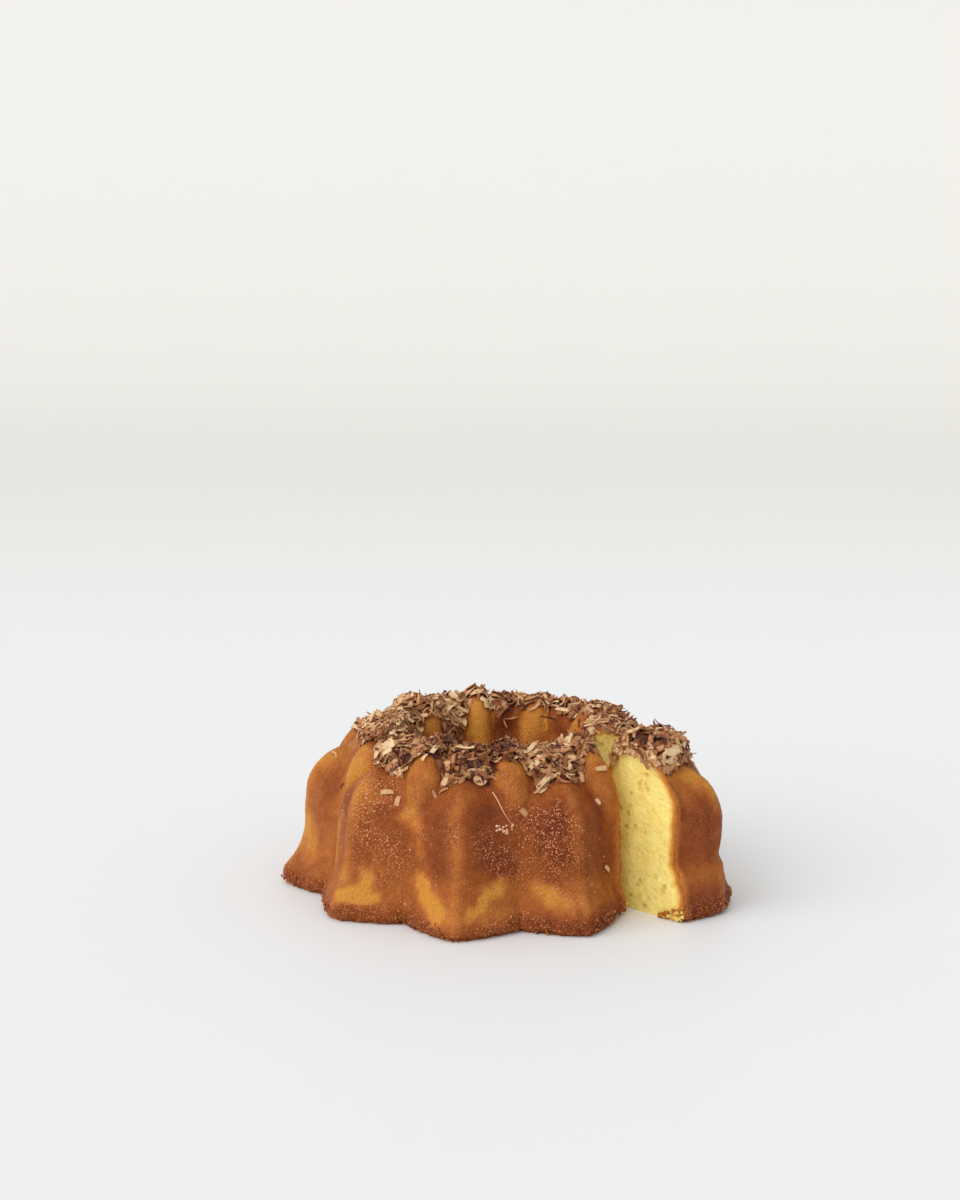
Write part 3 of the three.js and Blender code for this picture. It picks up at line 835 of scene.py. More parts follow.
# Strips that can be told apart in the photo: lobe, share of the section, degrees from level,
# length and width, how much paler than the others, and how far out
RING_CHIPS = (
    (8.724, 0.366, 10, 6.8, 2.9, 0.18, 0.6),
    (8.835, 0.347, 85, 5.6, 2.6, 0.08, 0.5),
    (8.734, 0.427, -10, 5.0, 3.0, 0.30, 1.6),
    (8.493, 0.475, -5, 8.5, 4.0, 0.45, 2.8),
    (8.440, 0.485, -35, 7.0, 4.2, 0.45, 2.6),
    (8.550, 0.462, 40, 5.5, 3.0, 0.35, 2.4),
    (9.107, 0.475, 85, 6.5, 2.4, 0.38, 2.6),
    (9.060, 0.452, 80, 4.5, 1.7, 0.24, 1.4),
    (9.298, 0.414, 75, 5.0, 3.0, 0.15, 2.2),
    (9.207, 0.380, -60, 5.0, 2.0, -0.08, 0.8),
    (9.300, 0.390, 30, 6.0, 2.0, -0.10, 0.9),
    (9.450, 0.497, 0, 9.5, 2.2, 0.34, 3.6),
    (0.060, 0.338, -50, 5.0, 3.2, -0.12, 0.4),
    (0.778, 0.420, 80, 6.7, 3.2, 0.05, 1.0),
    (0.939, 0.417, -8, 6.8, 2.8, 0.20, 1.0),
    (0.880, 0.160, -35, 6.0, 2.4, 0.10, 0.6),
    (0.870, 0.345, -60, 3.6, 2.2, 0.20, 0.5),
    (5.030, 0.533, 20, 6.0, 4.0, 0.30, 1.8),
    (5.100, 0.525, -20, 5.0, 3.5, 0.20, 2.0),
    (4.879, 0.555, 10, 5.5, 3.6, 0.42, 1.4),
    (4.940, 0.548, -30, 5.0, 3.2, 0.40, 1.6),
    (3.490, 0.548, 0, 11.0, 2.6, 0.20, 1.8),
)
RING_SHREDS = (
    (0.305, 0.416, 40, 13.0, 2.6, 0.38, 2.6),
    (0.240, 0.400, 52, 9.0, 1.8, 0.32, 1.6),
    (8.654, 0.435, -60, 8.5, 1.5, 0.15, 1.8),
    (8.805, 0.437, 40, 10.0, 1.5, 0.20, 1.8),
    (7.577, 0.397, -10, 5.5, 1.3, 0.35, 0.4),
    (7.969, 0.339, 50, 4.0, 1.4, -0.35, 0.3),
    (4.406, 0.576, 10, 8.0, 1.0, 0.05, 1.2),
    (4.516, 0.590, -70, 5.5, 1.0, 0.10, 1.0),
    (2.412, 0.545, -70, 12.0, 2.2, 0.45, 2.6),
)
SLICE_CHIPS = (
    (1.290, 0.530, -30, 8.0, 4.6, 0.25, 2.6),
    (1.290, 0.457, -20, 8.0, 4.4, 0.35, 2.4),
    (1.340, 0.446, 40, 6.5, 3.0, 0.30, 2.0),
    (1.550, 0.441, -50, 6.0, 3.0, 0.20, 1.4),
)
SLICE_SHREDS = (
    (1.330, 0.500, 30, 9.0, 1.4, 0.25, 2.8),
    (1.480, 0.450, -40, 8.0, 1.4, 0.25, 1.6),
)


# Crumbs and syrup

def pebbles(name, centres, sizes, rng, rounds=2, bake_and_painted_light=(0.1, 0.75), grit_and_glint=0.9):
    """Small uneven lumps, each from the same ball, pushed in and out."""
    bpy.ops.mesh.primitive_ico_sphere_add(subdivisions=rounds, radius=1)
    ball = bpy.context.object
    shape = coordinates(ball)
    faces = np.array([tuple(face.vertices) for face in ball.data.polygons])
    bpy.data.objects.remove(ball)
    total = len(centres)
    push = rng.uniform(0.6, 1.25, (total, len(shape), 1))
    squash = rng.uniform(0.65, 1.1, (total, 1, 3))
    lumps = shape[None] * push * squash * np.asarray(sizes)[:, None, None]
    places = lumps + np.asarray(centres)[:, None, :]
    places[..., 2] = np.maximum(places[..., 2], 0)
    offsets = np.arange(total)[:, None, None] * len(shape)
    piece = mesh_piece(name, places.reshape(-1, 3) * MM, (faces[None] + offsets).reshape(-1, 3).tolist())
    set_values(piece, "bake_and_painted_light", np.repeat(rng.uniform(*bake_and_painted_light, total), len(shape)))
    set_values(piece, "grit_and_glint", np.full(total * len(shape), grit_and_glint))
    set_values(piece, "rim", np.repeat(rng.uniform(2.5, 9, total), len(shape)))
    return piece


def cut_corner_places(angle, side, fullness, reach, tall, count, rng):
    """Places on a cut face near the foot of its outer wall, standing a little way out of it."""
    foot = crust(float(angle_to_lobe(angle)), 0.02, fullness)
    turn = math.radians(angle)
    inwards = -np.array([math.sin(turn), -math.cos(turn), 0])
    across = side * np.array([math.cos(turn), math.sin(turn), 0])
    share = rng.uniform(0, 1, (count, 1)) ** 1.4
    height = rng.uniform(0.2, 1, (count, 1)) * tall * (1 - 0.75 * share)
    out = rng.uniform(-0.2, 1.4, (count, 1))
    spot = foot * (1, 1, 0) + inwards * share * reach + across * out
    return spot + np.array([0, 0, 1.0]) * height


# Materials

def new_material(name):
    material = bpy.data.materials.new(name)
    material.use_nodes = True
    return material, material.node_tree, material.node_tree.nodes["Principled BSDF"]


def add(tree, kind, inputs=None, **settings):
    """Adds a node, sets it up, and sets or links its inputs."""
    node = tree.nodes.new(kind)
    for name, value in settings.items():
        setattr(node, name, value)
    for key, value in (inputs or {}).items():
        if isinstance(value, bpy.types.NodeSocket):
            tree.links.new(value, node.inputs[key])
        else:
            node.inputs[key].default_value = value
    return node


def arithmetic(tree, operation, a, b=0.0, third=0.0, clamp=False):
    inputs = {0: a, 1: b, 2: third}
    return add(tree, "ShaderNodeMath", inputs, operation=operation, use_clamp=clamp).outputs[0]


def blend_colours(tree, share, a, b, mode="MIX"):
    node = add(tree, "ShaderNodeMix", {0: share, 6: a, 7: b}, data_type="RGBA", blend_type=mode)
    return node.outputs[2]


def colour_ramp(tree, value, stops):
    """A smooth run of colours, given as (place, linear colour)."""
    node = add(tree, "ShaderNodeValToRGB", {0: value})
    ramp = node.color_ramp
    while len(ramp.elements) < len(stops):
        ramp.elements.new(0.5)
    for element, (place, colour) in zip(ramp.elements, stops):
        element.position = place
        element.color = colour
    return node.outputs[0]


def value_ramp(tree, value, low, high, to_low=0.0, to_high=1.0):
    inputs = {0: value, 1: low, 2: high, 3: to_low, 4: to_high}
    return add(tree, "ShaderNodeMapRange", inputs, interpolation_type="SMOOTHSTEP").outputs[0]


def noise_at(tree, place, scale, detail=3.0, roughness=0.55, distortion=0.0):
    inputs = {
        "Vector": place, "Scale": scale, "Detail": detail,
        "Roughness": roughness, "Distortion": distortion,
    }
    return add(tree, "ShaderNodeTexNoise", inputs).outputs[0]


def stored(tree, name):
    return add(tree, "ShaderNodeAttribute", attribute_name=name).outputs["Fac"]


def object_place(tree):
    return add(tree, "ShaderNodeTexCoord").outputs["Object"]


def baked_grain_group():
    """Fine baked grain: masks of bright specks, partly painted glints, and of painted shade in the gaps between them,
    and a height.
    """
    group = bpy.data.node_groups.new("Baked Grain", "ShaderNodeTree")
    group.interface.new_socket("Place", in_out="INPUT", socket_type="NodeSocketVector")
    scale = group.interface.new_socket("Scale", in_out="INPUT", socket_type="NodeSocketFloat")
    scale.default_value = 900
    group.interface.new_socket("Speckle", in_out="OUTPUT", socket_type="NodeSocketFloat")
    group.interface.new_socket("Gap Shade", in_out="OUTPUT", socket_type="NodeSocketFloat")
    group.interface.new_socket("Height", in_out="OUTPUT", socket_type="NodeSocketFloat")
    start = add(group, "NodeGroupInput")
    end = add(group, "NodeGroupOutput")
    place, scale = start.outputs["Place"], start.outputs["Scale"]
    swirl = add(group, "ShaderNodeTexNoise", {"Vector": place, "Scale": scale, "Detail": 1.0})
    bent = {0: swirl.outputs["Color"], 1: (0.0012, 0.0012, 0.0012), 2: place}
    bent = add(group, "ShaderNodeVectorMath", bent, operation="MULTIPLY_ADD").outputs[0]
    grains = add(group, "ShaderNodeTexVoronoi", {"Vector": bent, "Scale": scale}, feature="F1")
    dot = value_ramp(group, grains.outputs["Distance"], 0.24, 0.52, 1.0, 0.0)
    chance = add(group, "ShaderNodeSeparateColor", {0: grains.outputs["Color"]})
    wide = noise_at(group, place, arithmetic(group, "MULTIPLY", scale, 0.07), 4.0)
    cluster = value_ramp(group, wide, 0.32, 0.54, 0.3, 1.0)
    dense = arithmetic(group, "MULTIPLY", dot, cluster)
    bright = value_ramp(group, chance.outputs[0], 0.2, 0.8, 0.1, 1.0)
    speckle = arithmetic(group, "MULTIPLY", dense, bright)
    # Painted shade between the grains.
    gap = value_ramp(group, grains.outputs["Distance"], 0.44, 0.66)
    gap = arithmetic(group, "MULTIPLY", gap, cluster)
    soft = noise_at(group, place, scale, 2.0, 0.6)
    height = arithmetic(group, "ADD", arithmetic(group, "MULTIPLY", dot, 0.5), soft)
    group.links.new(speckle, end.inputs["Speckle"])
    group.links.new(gap, end.inputs["Gap Shade"])
    group.links.new(height, end.inputs["Height"])
    return group


def grain_node(tree, place, scale):
    node = add(tree, "ShaderNodeGroup", node_tree=bpy.data.node_groups["Baked Grain"])
    tree.links.new(place, node.inputs["Place"])
    node.inputs["Scale"].default_value = scale
    return node.outputs


def crust_material():
    colours = bpy.context.scene.cake_finish
    material, tree, shader = new_material("baked crust")
    place = object_place(tree)
    grain = grain_node(tree, place, 960)
    grit_and_glint = stored(tree, "grit_and_glint")
    patches = noise_at(tree, place, 80, 4.0, 0.65, 0.8)
    small = noise_at(tree, place, 340, 3.0, 0.7, 0.4)
    # The stored tone carries the browning and its painted highlights and painted shade.
    tone = arithmetic(tree, "ADD", stored(tree, "bake_and_painted_light"), arithmetic(tree, "MULTIPLY", patches, 0.30))
    tone = arithmetic(tree, "ADD", tone, arithmetic(tree, "MULTIPLY", small, 0.26))
    fine = noise_at(tree, place, 1000, 2.0, 0.6)
    tone = arithmetic(tree, "ADD", tone, arithmetic(tree, "MULTIPLY", fine, 0.24))
    tone = arithmetic(tree, "SUBTRACT", tone, 0.38)
    # Painted shade in the gaps between the grains.
    gap_shade = arithmetic(tree, "MULTIPLY", arithmetic(tree, "MULTIPLY", grain["Gap Shade"], grit_and_glint), 0.22)
    tone = arithmetic(tree, "ADD", tone, gap_shade, clamp=True)
    skin = colour_ramp(tree, tone, (
        (0.06, (*colours.pale, 1)),
        (0.32, (*colours.honey, 1)),
        (0.60, (*colours.brown, 1)),
        (0.95, (*colours.dark, 1)),
    ))
    # Bright specks: sugary grain, and partly painted glints.
    grain_and_glint = arithmetic(tree, "MULTIPLY", grain["Speckle"], grit_and_glint, clamp=True)
    skin = blend_colours(tree, grain_and_glint, skin, (*colours.sugar_and_glint, 1))
    tree.links.new(skin, shader.inputs["Base Color"])
    rough = value_ramp(tree, small, 0.3, 0.7, 0.42, 0.62)
    tree.links.new(rough, shader.inputs["Roughness"])
    height = arithmetic(tree, "ADD", arithmetic(tree, "MULTIPLY", grain["Height"], 0.9), small)
    bump = add(tree, "ShaderNodeBump", {"Strength": 0.95, "Distance": 0.0008, "Height": height})
    tree.links.new(bump.outputs[0], shader.inputs["Normal"])
    shader.inputs["Specular IOR Level"].default_value = 0.12
    shader.inputs["Subsurface Weight"].default_value = 0.06
    shader.inputs["Subsurface Radius"].default_value = (0.004, 0.0018, 0.0007)
    shader.inputs["Subsurface Scale"].default_value = 1.0
    return material


def crumb_material():
    colours = bpy.context.scene.cake_finish
    material, tree, shader = new_material("yellow crumb")
    place = object_place(tree)
    grain = grain_node(tree, place, 700)
    wobble = arithmetic(tree, "SUBTRACT", noise_at(tree, place, 160, 3.0), 0.5)
    rim = arithmetic(tree, "ADD", stored(tree, "rim"), arithmetic(tree, "MULTIPLY", wobble, 3.0))
    broad = value_ramp(tree, noise_at(tree, place, 90, 4.0, 0.65, 0.6), 0.34, 0.66)
    fine = value_ramp(tree, noise_at(tree, place, 420, 3.0, 0.65), 0.30, 0.70)
    mottle = arithmetic(tree, "MULTIPLY", fine, 0.3)
    mottle = arithmetic(tree, "MULTIPLY_ADD", broad, 0.6, third=mottle)
    crumb = blend_colours(tree, mottle, (*colours.crumb, 1), (*colours.crumb_deep, 1))
    jitter = arithmetic(tree, "MULTIPLY", arithmetic(tree, "SUBTRACT", fine, 0.5), 0.25)
    cells = add(tree, "ShaderNodeTexVoronoi", {"Vector": place, "Scale": 210, "Randomness": 1.0})
    some = value_ramp(tree, noise_at(tree, place, 55, 3.0), 0.50, 0.60)
    ragged = arithmetic(tree, "ADD", cells.outputs["Distance"], jitter)
    pore = arithmetic(tree, "MULTIPLY", value_ramp(tree, ragged, 0.12, 0.42, 1.0, 0.0), some)
    holes = add(tree, "ShaderNodeTexVoronoi", {"Vector": place, "Scale": 640, "Randomness": 1.0})
    small = arithmetic(tree, "ADD", holes.outputs["Distance"], jitter)
    tiny = arithmetic(tree, "MULTIPLY", value_ramp(tree, small, 0.15, 0.42, 1.0, 0.0), broad)
    # Painted shade in the small and large pores.
    crumb = blend_colours(tree, arithmetic(tree, "MULTIPLY", tiny, 0.15), crumb, (*colours.pore, 1))
    crumb = blend_colours(tree, arithmetic(tree, "MULTIPLY", pore, 0.6), crumb, (*colours.pore, 1))
    edge = colour_ramp(tree, value_ramp(tree, rim, 0.0, 9.0), (
        (0.0, (*colours.honey, 1)),
        (0.14, (*colours.pale, 1)),
        (0.5, (*colours.crumb_deep, 1)),
        (0.9, (*colours.crumb, 1)),
    ))
    colour = blend_colours(tree, value_ramp(tree, rim, 2.0, 8.0), edge, crumb)
    tree.links.new(colour, shader.inputs["Base Color"])
    shader.inputs["Roughness"].default_value = 0.8
    lumpy = arithmetic(tree, "ADD", arithmetic(tree, "MULTIPLY", grain["Height"], 0.5), fine)
    height = arithmetic(tree, "SUBTRACT", lumpy, pore)
    bump = add(tree, "ShaderNodeBump", {"Strength": 0.65, "Distance": 0.0007, "Height": height})
    tree.links.new(bump.outputs[0], shader.inputs["Normal"])
    shader.inputs["Specular IOR Level"].default_value = 0.2
    shader.inputs["Subsurface Weight"].default_value = 0.15
    shader.inputs["Subsurface Radius"].default_value = (0.006, 0.004, 0.0015)
    shader.inputs["Subsurface Scale"].default_value = 1.0
    return material


def coconut_material():
    colours = bpy.context.scene.cake_topping
    material, tree, shader = new_material("toasted coconut")
    place = object_place(tree)
    grain = grain_node(tree, place, 1500)
    fibres = {"W": stored(tree, "grain"), "Scale": 3.0, "Detail": 2.0}
    streaks = add(tree, "ShaderNodeTexNoise", fibres, noise_dimensions="1D")
    tone = stored(tree, "tone")
    tone = arithmetic(tree, "ADD", tone, arithmetic(tree, "MULTIPLY", streaks.outputs[0], 0.22))
    tone = arithmetic(tree, "ADD", tone, arithmetic(tree, "MULTIPLY", noise_at(tree, place, 260, 2.0), 0.22))
    toasting = arithmetic(tree, "MULTIPLY", value_ramp(tree, stored(tree, "edge"), 0.55, 1.0), 0.13)
    tone = arithmetic(tree, "SUBTRACT", arithmetic(tree, "SUBTRACT", tone, toasting), 0.17, clamp=True)
    skin = colour_ramp(tree, tone, (
        (0.0, (*colours.darkest, 1)),
        (0.2, (*colours.brown, 1)),
        (0.45, (*colours.tan, 1)),
        (0.7, (*colours.pale, 1)),
        (0.95, (*colours.cream, 1)),
    ))
    tree.links.new(skin, shader.inputs["Base Color"])
    shader.inputs["Roughness"].default_value = 0.6
    shader.inputs["Specular IOR Level"].default_value = 0.25
    bump = add(tree, "ShaderNodeBump", {"Strength": 0.4, "Distance": 0.0002, "Height": grain["Height"]})
    tree.links.new(bump.outputs[0], shader.inputs["Normal"])
    shader.inputs["Subsurface Weight"].default_value = 0.12
    shader.inputs["Subsurface Radius"].default_value = (0.002, 0.0012, 0.0007)
    shader.inputs["Subsurface Scale"].default_value = 1.0
    return material


def syrup_material():
    colours = bpy.context.scene.cake_finish
    material, tree, shader = new_material("clear syrup")
    place = object_place(tree)
    # The pale crystal tint is dried sugar, and partly a painted highlight on the drops.
    tint = blend_colours(tree, noise_at(tree, place, 300, 2.0), (*colours.syrup, 1), (*colours.crystal_and_glint, 1))
    tree.links.new(tint, shader.inputs["Base Color"])
    shader.inputs["Roughness"].default_value = 0.12
    shader.inputs["Coat Weight"].default_value = 0.6
    shader.inputs["Coat Roughness"].default_value = 0.05
    return material


def floor_material():
    stage = bpy.context.scene.cake_stage
    material, tree, shader = new_material("pale floor")
    place = object_place(tree)
    depth = add(tree, "ShaderNodeSeparateXYZ", {0: place}).outputs["Y"]
    cloudy = arithmetic(tree, "MULTIPLY", noise_at(tree, place, 2, 2.0), 0.2)
    far = value_ramp(tree, arithmetic(tree, "ADD", depth, cloudy), 0.3, 2.5)
    colour = blend_colours(tree, far, (*stage.floor_colour, 1), (*stage.floor_shade, 1))
    tree.links.new(colour, shader.inputs["Base Color"])
    shader.inputs["Roughness"].default_value = 0.55
    shader.inputs["Specular IOR Level"].default_value = 0.2
    return material


# Settings

def length(name, description, default, **limits):
    return bpy.props.FloatProperty(name=name, description=description, default=default * MM, unit="LENGTH", **limits)


def paint(name, description, *display):
    return bpy.props.FloatVectorProperty(
        name=name, description=description, default=linear(display)[:3],
        subtype="COLOR", size=3, min=0, max=1,
    )


class CakeShape(bpy.types.PropertyGroup):
    lobe_depth_m: length("Lobe depth", "How far a lobe's keel stands out at mid height", 13)
    foot_depth_m: length("Foot depth", "How far a lobe's keel stands out at the foot", 18.5)
    tongue_depth_m: length("Tongue depth", "How far a tongue stands out over the crest", 9)
    keel_rounding: bpy.props.FloatProperty(
        name="Keel rounding", description="How soft a lobe's keel is, as a share of its width",
        default=0.035, min=0, max=0.4, subtype="FACTOR",
    )
    ring_rows: bpy.props.IntProperty(name="Ring rows", description="Rows up each side of the ring", default=78, min=20)
    ring_steps: bpy.props.IntProperty(name="Ring steps", description="Steps round the ring", default=430, min=100)
    slice_rows: bpy.props.IntProperty(name="Slice rows", description="Rows up each side of the slice", default=120, min=20)
    slice_steps: bpy.props.IntProperty(name="Slice steps", description="Steps round the slice", default=70, min=20)
    base_rows: bpy.props.IntProperty(name="Base rows", description="Rows across the base and the cuts", default=30, min=6)

    @property
    def lobe_depth(self):
        return self.lobe_depth_m / MM

    @property
    def foot_depth(self):
        return self.foot_depth_m / MM

    @property
    def tongue_depth(self):
        return self.tongue_depth_m / MM


class CakeFinish(bpy.types.PropertyGroup):
    pale: paint("Pale crust", "Thin crust low on the lobes", 209, 142, 56)
    honey: paint("Honey crust", "Lightly baked crust", 185, 110, 48)
    brown: paint("Brown crust", "Well baked crust", 152, 78, 34)
    dark: paint("Dark crust", "The darkest crust", 108, 47, 20)
    # Sugar grain, and partly painted glints
    sugar_and_glint: paint("Sugar grain", "Fine pale grain in the crust, and painted glints", 236, 160, 114)
    crumb: paint("Crumb", "Cut crumb", 255, 239, 148)
    crumb_deep: paint("Deep crumb", "Cut crumb in its hollows", 253, 214, 112)
    # Painted shade inside the pores
    pore: paint("Pore", "Inside the crumb's pores", 196, 152, 60)
    syrup: paint("Syrup", "Thin syrup that dried in drops", 214, 140, 70)
    # Partly a painted highlight on the syrup drops
    crystal_and_glint: paint("Crystal", "Sugar that dried pale in the syrup, and a painted glint", 250, 208, 188)


class CakeTopping(bpy.types.PropertyGroup):
    chips: bpy.props.IntProperty(name="Chips", description="Coconut chips on the ring", default=2100, min=1)
    shreds: bpy.props.IntProperty(name="Shreds", description="Coconut shreds on the ring", default=1500, min=1)
    slice_share: bpy.props.FloatProperty(
        name="Slice share", description="Coconut on the slice, as a share of the ring's",
        default=0.13, min=0, max=1, subtype="FACTOR",
    )
    thickness: length("Thickness", "How thick a strip of coconut is", 0.35)
    heap_depth: length("Heap depth", "How deep the matted coconut fills the dips of the crest", 5.5)
    cream: paint("Cream", "Coconut that stayed pale", 236, 202, 158)
    pale: paint("Pale", "Lightly toasted coconut", 208, 158, 110)
    tan: paint("Tan", "Toasted coconut", 170, 112, 70)
    brown: paint("Brown", "Well toasted coconut", 116, 62, 36)
    darkest: paint("Darkest", "The darkest coconut", 66, 32, 28)


class CakeStage(bpy.types.PropertyGroup):
    floor_colour: paint("Floor", "Colour of the pale floor near the cake", 240, 242, 244)
    floor_shade: paint("Backdrop", "Slightly deeper tone of the backdrop", 229, 228, 224)
    sky: paint("Surroundings", "Colour of the light all round", 252, 252, 252)
    sky_strength: bpy.props.FloatProperty(
        name="Surrounding light", description="Strength of the light all round", default=0.64, min=0,
    )
    key_strength: bpy.props.FloatProperty(
        name="Key light", description="Strength of the soft light from the upper left", default=1.9, min=0,
    )
    key_softness: bpy.props.FloatProperty(
        name="Key softness", description="How wide the soft light looks, which softens its shadows",
        default=math.radians(70), min=0, max=math.pi, subtype="ANGLE",
    )


# Steps of making the cake

class CAKE_OT_finishes(bpy.types.Operator):
    """Mixes the finishes of crust, crumb, coconut and syrup"""

    bl_idname = "cake.finishes"
    bl_label = "Mix Finishes"

    def execute(self, context):
        baked_grain_group()
        crust_material()
        crumb_material()
        coconut_material()
        syrup_material()
        return {"FINISHED"}


class CAKE_OT_ring(bpy.types.Operator):
    """Bakes the ring, with the gap that the slice left"""

    bl_idname = "cake.ring"
    bl_label = "Bake Ring"

    def execute(self, context):
        shape = context.scene.cake_shape
        body = baked_body("ring_body", FAR_CUT, NEAR_CUT + 360, shape.ring_rows, shape.ring_steps, 0.0, 1)
        set_down(body, (0, 0, 0), RING_NODE)
        return {"FINISHED"}


class CAKE_OT_slice(bpy.types.Operator):
    """Bakes the slice and draws it out"""

    bl_idname = "cake.slice"
    bl_label = "Cut Slice"

    def execute(self, context):
        shape = context.scene.cake_shape
        first, last = NEAR_CUT + KNIFE_ANGLE, FAR_CUT - KNIFE_ANGLE
        body = baked_body("slice_body", first, last, shape.slice_rows, shape.slice_steps, 1, 5)
        set_down(body, slice_shift(), SLICE_NODE)
        return {"FINISHED"}


class CAKE_OT_coconut(bpy.types.Operator):
    """Strews toasted coconut over the crest of the ring and the slice"""

    bl_idname = "cake.coconut"
    bl_label = "Strew Coconut"

    def execute(self, context):
        topping = context.scene.cake_topping
        ring = (FAR_CUT + 1.0, NEAR_CUT + 359.0)
        cut = (NEAR_CUT + 1.2, FAR_CUT - 1.6)
        near, far = NEAR_CUT + KNIFE_ANGLE, FAR_CUT
        kinds = (
            ("chips", CHIPS, topping.chips, 11, RING_CHIPS, SLICE_CHIPS),
            ("shreds", SHREDS, topping.shreds, 12, RING_SHREDS, SLICE_SHREDS),
        )
        for kind_name, kind, count, seed, on_ring, on_slice in kinds:
            rng = np.random.default_rng(seed)
            edge = spots_on_cut(22, far, -1, 0.0, rng)
            spots = [spots_on_crust(count, *ring, 0.0, rng), edge]
            title = f"ring_coconut_{kind_name}"
            coconut_piece(title, kind, spots, on_ring, 0.0, (0, 0, 0), RING_NODE, rng)
            few = int(count * topping.slice_share * kind["slice_part"])
            spots = [
                spots_on_crust(few, *cut, 1, rng),
                spots_on_cut(kind["over_cut"], near, -1, 1, rng),
            ]
            title = f"slice_coconut_{kind_name}"
            coconut_piece(title, kind, spots, on_slice, 1.0, slice_shift(), SLICE_NODE, rng)
        return {"FINISHED"}


class CAKE_OT_crumbs(bpy.types.Operator):
    """Drops crumbs at the foot of the two cuts"""

    bl_idname = "cake.crumbs"
    bl_label = "Drop Crumbs"

    def execute(self, context):
        rng = np.random.default_rng(21)
        near = NEAR_CUT + KNIFE_ANGLE
        skins = (
            ("ring_foot_crumbs", 1500, (FAR_CUT + 0.5, NEAR_CUT + 359.5), 0.0, (0, 0, 0)),
            ("slice_foot_crumbs", 150, (near + 0.5, FAR_CUT - 0.5), 1.0, slice_shift()),
        )
        for name, count, reach, fullness, shift in skins:
            lobes = rng.uniform(*angle_to_lobe(np.array(reach)), count)
            alongs = 0.004 + 0.05 * rng.uniform(0, 1, count) ** 1.5
            spots, _, _, outward = surface_frames(lobes, alongs, fullness)
            spots = spots + outward * rng.uniform(-0.3, 0.4, (count, 1))
            skin = pebbles(name, spots, rng.uniform(0.25, 1.0, count) ** 1.3, rng, 1)
            skin.data.materials.append(bpy.data.materials["baked crust"])
            lay_on(skin, shift)
        spots = cut_corner_places(near, -1, 1, 16, 9, 48, rng)
        sizes = 0.35 + 1.1 * rng.uniform(size=len(spots)) ** 2
        brown = pebbles("slice_crust_crumbs", spots, sizes, rng, 2, (0.0, 0.3), 0.3)
        brown.data.materials.append(bpy.data.materials["baked crust"])
        lay_on(brown, slice_shift())
        cuts = (
            ("ring_yellow_crumbs", NEAR_CUT, 1, 0.0, (0, 0, 0)),
            ("slice_yellow_crumbs", near, -1, 1.0, slice_shift()),
        )
        for name, angle, side, fullness, shift in cuts:
            spots = cut_corner_places(angle, side, fullness, 13, 7, 44, rng)
            sizes = 0.4 + 1.1 * rng.uniform(size=len(spots)) ** 2
            yellow = pebbles(name, spots, sizes, rng)
            yellow.data.materials.append(bpy.data.materials["yellow crumb"])
            lay_on(yellow, shift)
        return {"FINISHED"}


class CAKE_OT_syrup(bpy.types.Operator):
    """Draws the thread of syrup under the front tongue and dots dried drops on the crust"""

    bl_idname = "cake.syrup"
    bl_label = "Drizzle Syrup"

    def execute(self, context):
        share = np.linspace(0, 1, 14)
        lobe = mix(9.77, 9.94, share) + 0.006 * np.sin(share * 7)
        places, _, _, outward = surface_frames(lobe, mix(0.393, 0.305, share))
        places = (places + outward * 0.35) * MM
        curve = bpy.data.curves.new("syrup_thread", "CURVE")
        curve.dimensions = "3D"
        curve.bevel_depth = 0.00034
        curve.bevel_resolution = 2
        curve.use_fill_caps = True
        spline = curve.splines.new("POLY")
        spline.points.add(len(places) - 1)
        for point, place, wide in zip(spline.points, places, 1 - 0.6 * share):
            point.co = (*place, 1)
            point.radius = wide
        thread = bpy.data.objects.new("syrup_thread", curve)
        context.scene.collection.objects.link(thread)
        select_only(thread)
        bpy.ops.object.convert(target="MESH")
        thread = context.object
        thread.data.materials.append(bpy.data.materials["clear syrup"])
        smooth_edges(thread)
        lay_on(thread, (0, 0, 0))

        rng = np.random.default_rng(31)
        lobes = np.concatenate([rng.uniform(8.2, 10.9, 70), rng.normal(9.87, 0.04, 22)])
        alongs = np.concatenate([rng.uniform(0.05, 0.36, 70), rng.normal(0.298, 0.007, 22)])
        spots, _, _, outward = surface_frames(lobes, alongs)
        sizes = np.concatenate([rng.uniform(0.2, 0.45, 70), rng.uniform(0.4, 0.85, 22)])
        drops = pebbles("syrup_drops", spots + outward * 0.2, sizes, rng)
        drops.data.materials.append(bpy.data.materials["clear syrup"])
        smooth_edges(drops)
        lay_on(drops, (0, 0, 0))
        return {"FINISHED"}


class CAKE_OT_stage(bpy.types.Operator):
    """Sets up the plain floor, the soft light and the camera"""

    bl_idname = "cake.stage"
    bl_label = "Set Stage"

    def execute(self, context):
        set_stage(context.scene)
        return {"FINISHED"}


class CAKE_PT_panel(bpy.types.Panel):
    bl_label = "Fluted Ring Cake"
    bl_idname = "CAKE_PT_panel"
    bl_space_type = "VIEW_3D"
    bl_region_type = "UI"
    bl_category = "Cake"

    def draw(self, context):
        layout = self.layout
        for step in STEPS:
            layout.operator(step.bl_idname)
        for group in ("cake_shape", "cake_finish", "cake_topping", "cake_stage"):
            settings = getattr(context.scene, group)
            for name in settings.__annotations__:
                layout.prop(settings, name)


# The stage

PHOTO_HEIGHT = 1200
FOCAL_PIXELS = 2004.2
SENSOR = 36.0
CAMERA_PLACE = (-12.0, -1061.6, 331.9)
CAMERA_DIP = 9.56
KEY_DIRECTION = (-0.62, -0.55, 0.6)


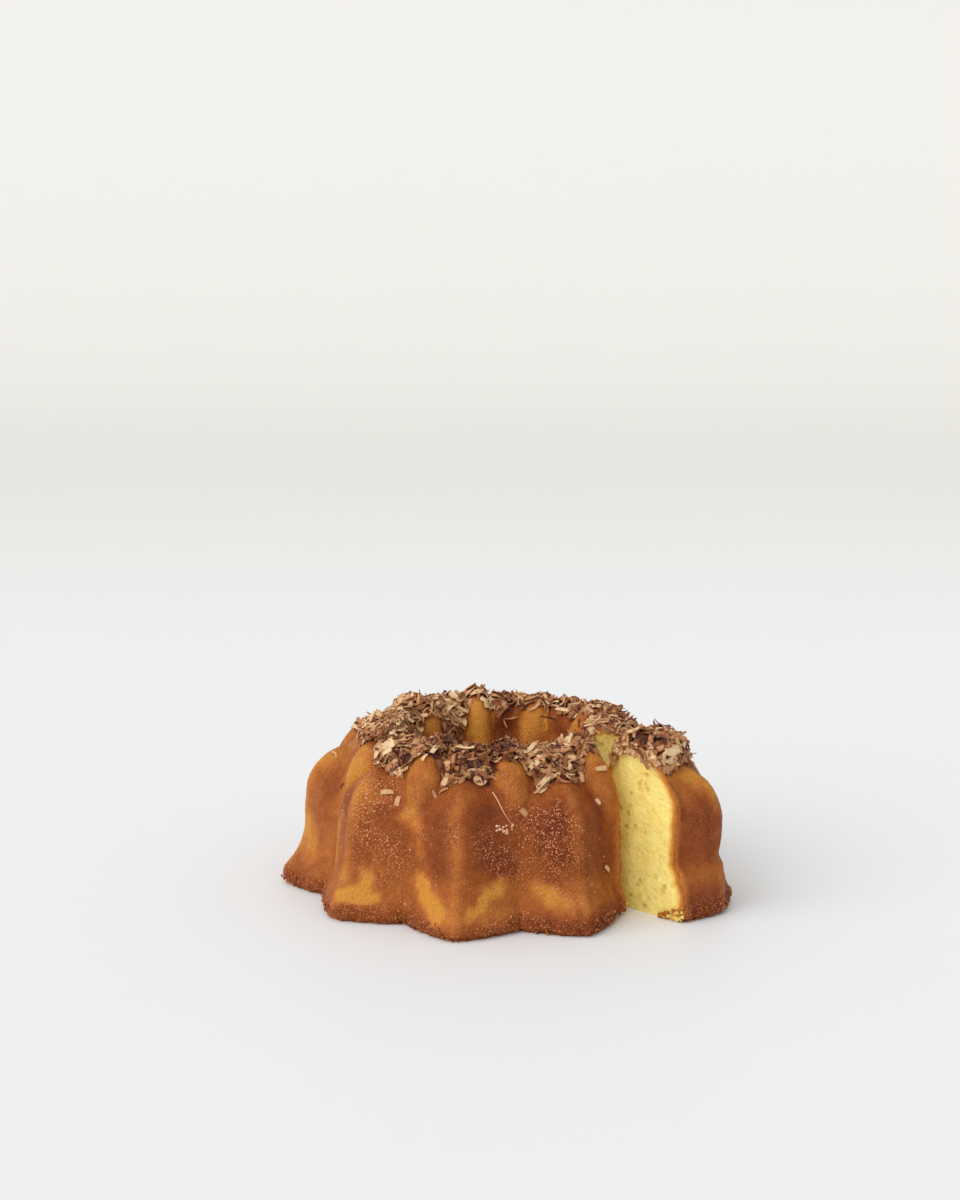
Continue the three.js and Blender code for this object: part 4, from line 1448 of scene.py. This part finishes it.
def swept_backdrop(front, back, width, height, bend):
    """A floor that turns up in a smooth curve behind the cake."""
    bpy.ops.mesh.primitive_grid_add(x_subdivisions=2, y_subdivisions=240, size=1)
    sweep = bpy.context.object
    grid = coordinates(sweep)
    level = front + back
    run = (grid[:, 1] + 0.5) * (level + math.pi / 2 * bend + height)
    past = np.clip(run - level, 0, math.pi / 2 * bend) / bend
    rise = np.maximum(0, run - level - math.pi / 2 * bend)
    y = np.minimum(run, level) - front + bend * np.sin(past)
    z = bend * (1 - np.cos(past)) + rise
    move_vertices(sweep, np.stack([grid[:, 0] * width, y, z], -1))
    return sweep


def soft_key(direction, strength, softness, colour):
    """A broad light that shines from far away, as a big window would."""
    light = bpy.data.lights.new("key_light", "SUN")
    light.energy = strength
    light.angle = softness
    light.color = colour
    lamp = bpy.data.objects.new("key_light", light)
    bpy.context.scene.collection.objects.link(lamp)
    lamp.rotation_euler = Vector(direction).to_track_quat("Z", "Y").to_euler()
    return lamp


def set_stage(scene):
    stage = scene.cake_stage
    floor_material()
    clear_selection()
    floor = swept_backdrop(20.0, 3.0, 24.0, 2.5, 2.6)
    floor.name = "floor"
    floor.data.materials.append(bpy.data.materials["pale floor"])
    smooth_edges(floor)

    world = bpy.data.worlds.new("soft surroundings")
    scene.world = world
    world.use_nodes = True
    background = world.node_tree.nodes["Background"]
    background.inputs["Color"].default_value = (*stage.sky, 1)
    background.inputs["Strength"].default_value = stage.sky_strength

    soft_key(KEY_DIRECTION, stage.key_strength, stage.key_softness, (1.0, 0.985, 0.96))

    camera = bpy.data.cameras.new("photo_camera")
    camera.sensor_width = SENSOR
    camera.lens = SENSOR * FOCAL_PIXELS / PHOTO_HEIGHT
    camera.clip_start = 0.05
    camera.clip_end = 50
    eye = bpy.data.objects.new("photo_camera", camera)
    scene.collection.objects.link(eye)
    eye.location = Vector(CAMERA_PLACE) * MM
    eye.rotation_euler = (math.radians(90 - CAMERA_DIP), 0, 0)
    scene.camera = eye
    scene.view_settings.view_transform = "Standard"


STEPS = (
    CAKE_OT_finishes,
    CAKE_OT_ring,
    CAKE_OT_slice,
    CAKE_OT_coconut,
    CAKE_OT_crumbs,
    CAKE_OT_syrup,
    CAKE_OT_stage,
)
GROUPS = {
    "cake_shape": CakeShape,
    "cake_finish": CakeFinish,
    "cake_topping": CakeTopping,
    "cake_stage": CakeStage,
}


def register():
    for group in GROUPS.values():
        bpy.utils.register_class(group)
    for name, group in GROUPS.items():
        setattr(bpy.types.Scene, name, bpy.props.PointerProperty(type=group))
    for step in STEPS:
        bpy.utils.register_class(step)
    bpy.utils.register_class(CAKE_PT_panel)


def unregister():
    bpy.utils.unregister_class(CAKE_PT_panel)
    for step in reversed(STEPS):
        bpy.utils.unregister_class(step)
    for name, group in GROUPS.items():
        delattr(bpy.types.Scene, name)
        bpy.utils.unregister_class(group)


def main():
    register()
    clear_selection()
    bpy.ops.cake.finishes()
    bpy.ops.cake.ring()
    bpy.ops.cake.slice()
    bpy.ops.cake.coconut()
    bpy.ops.cake.crumbs()
    bpy.ops.cake.syrup()
    bpy.ops.cake.stage()


if __name__ == "__main__":
    main()
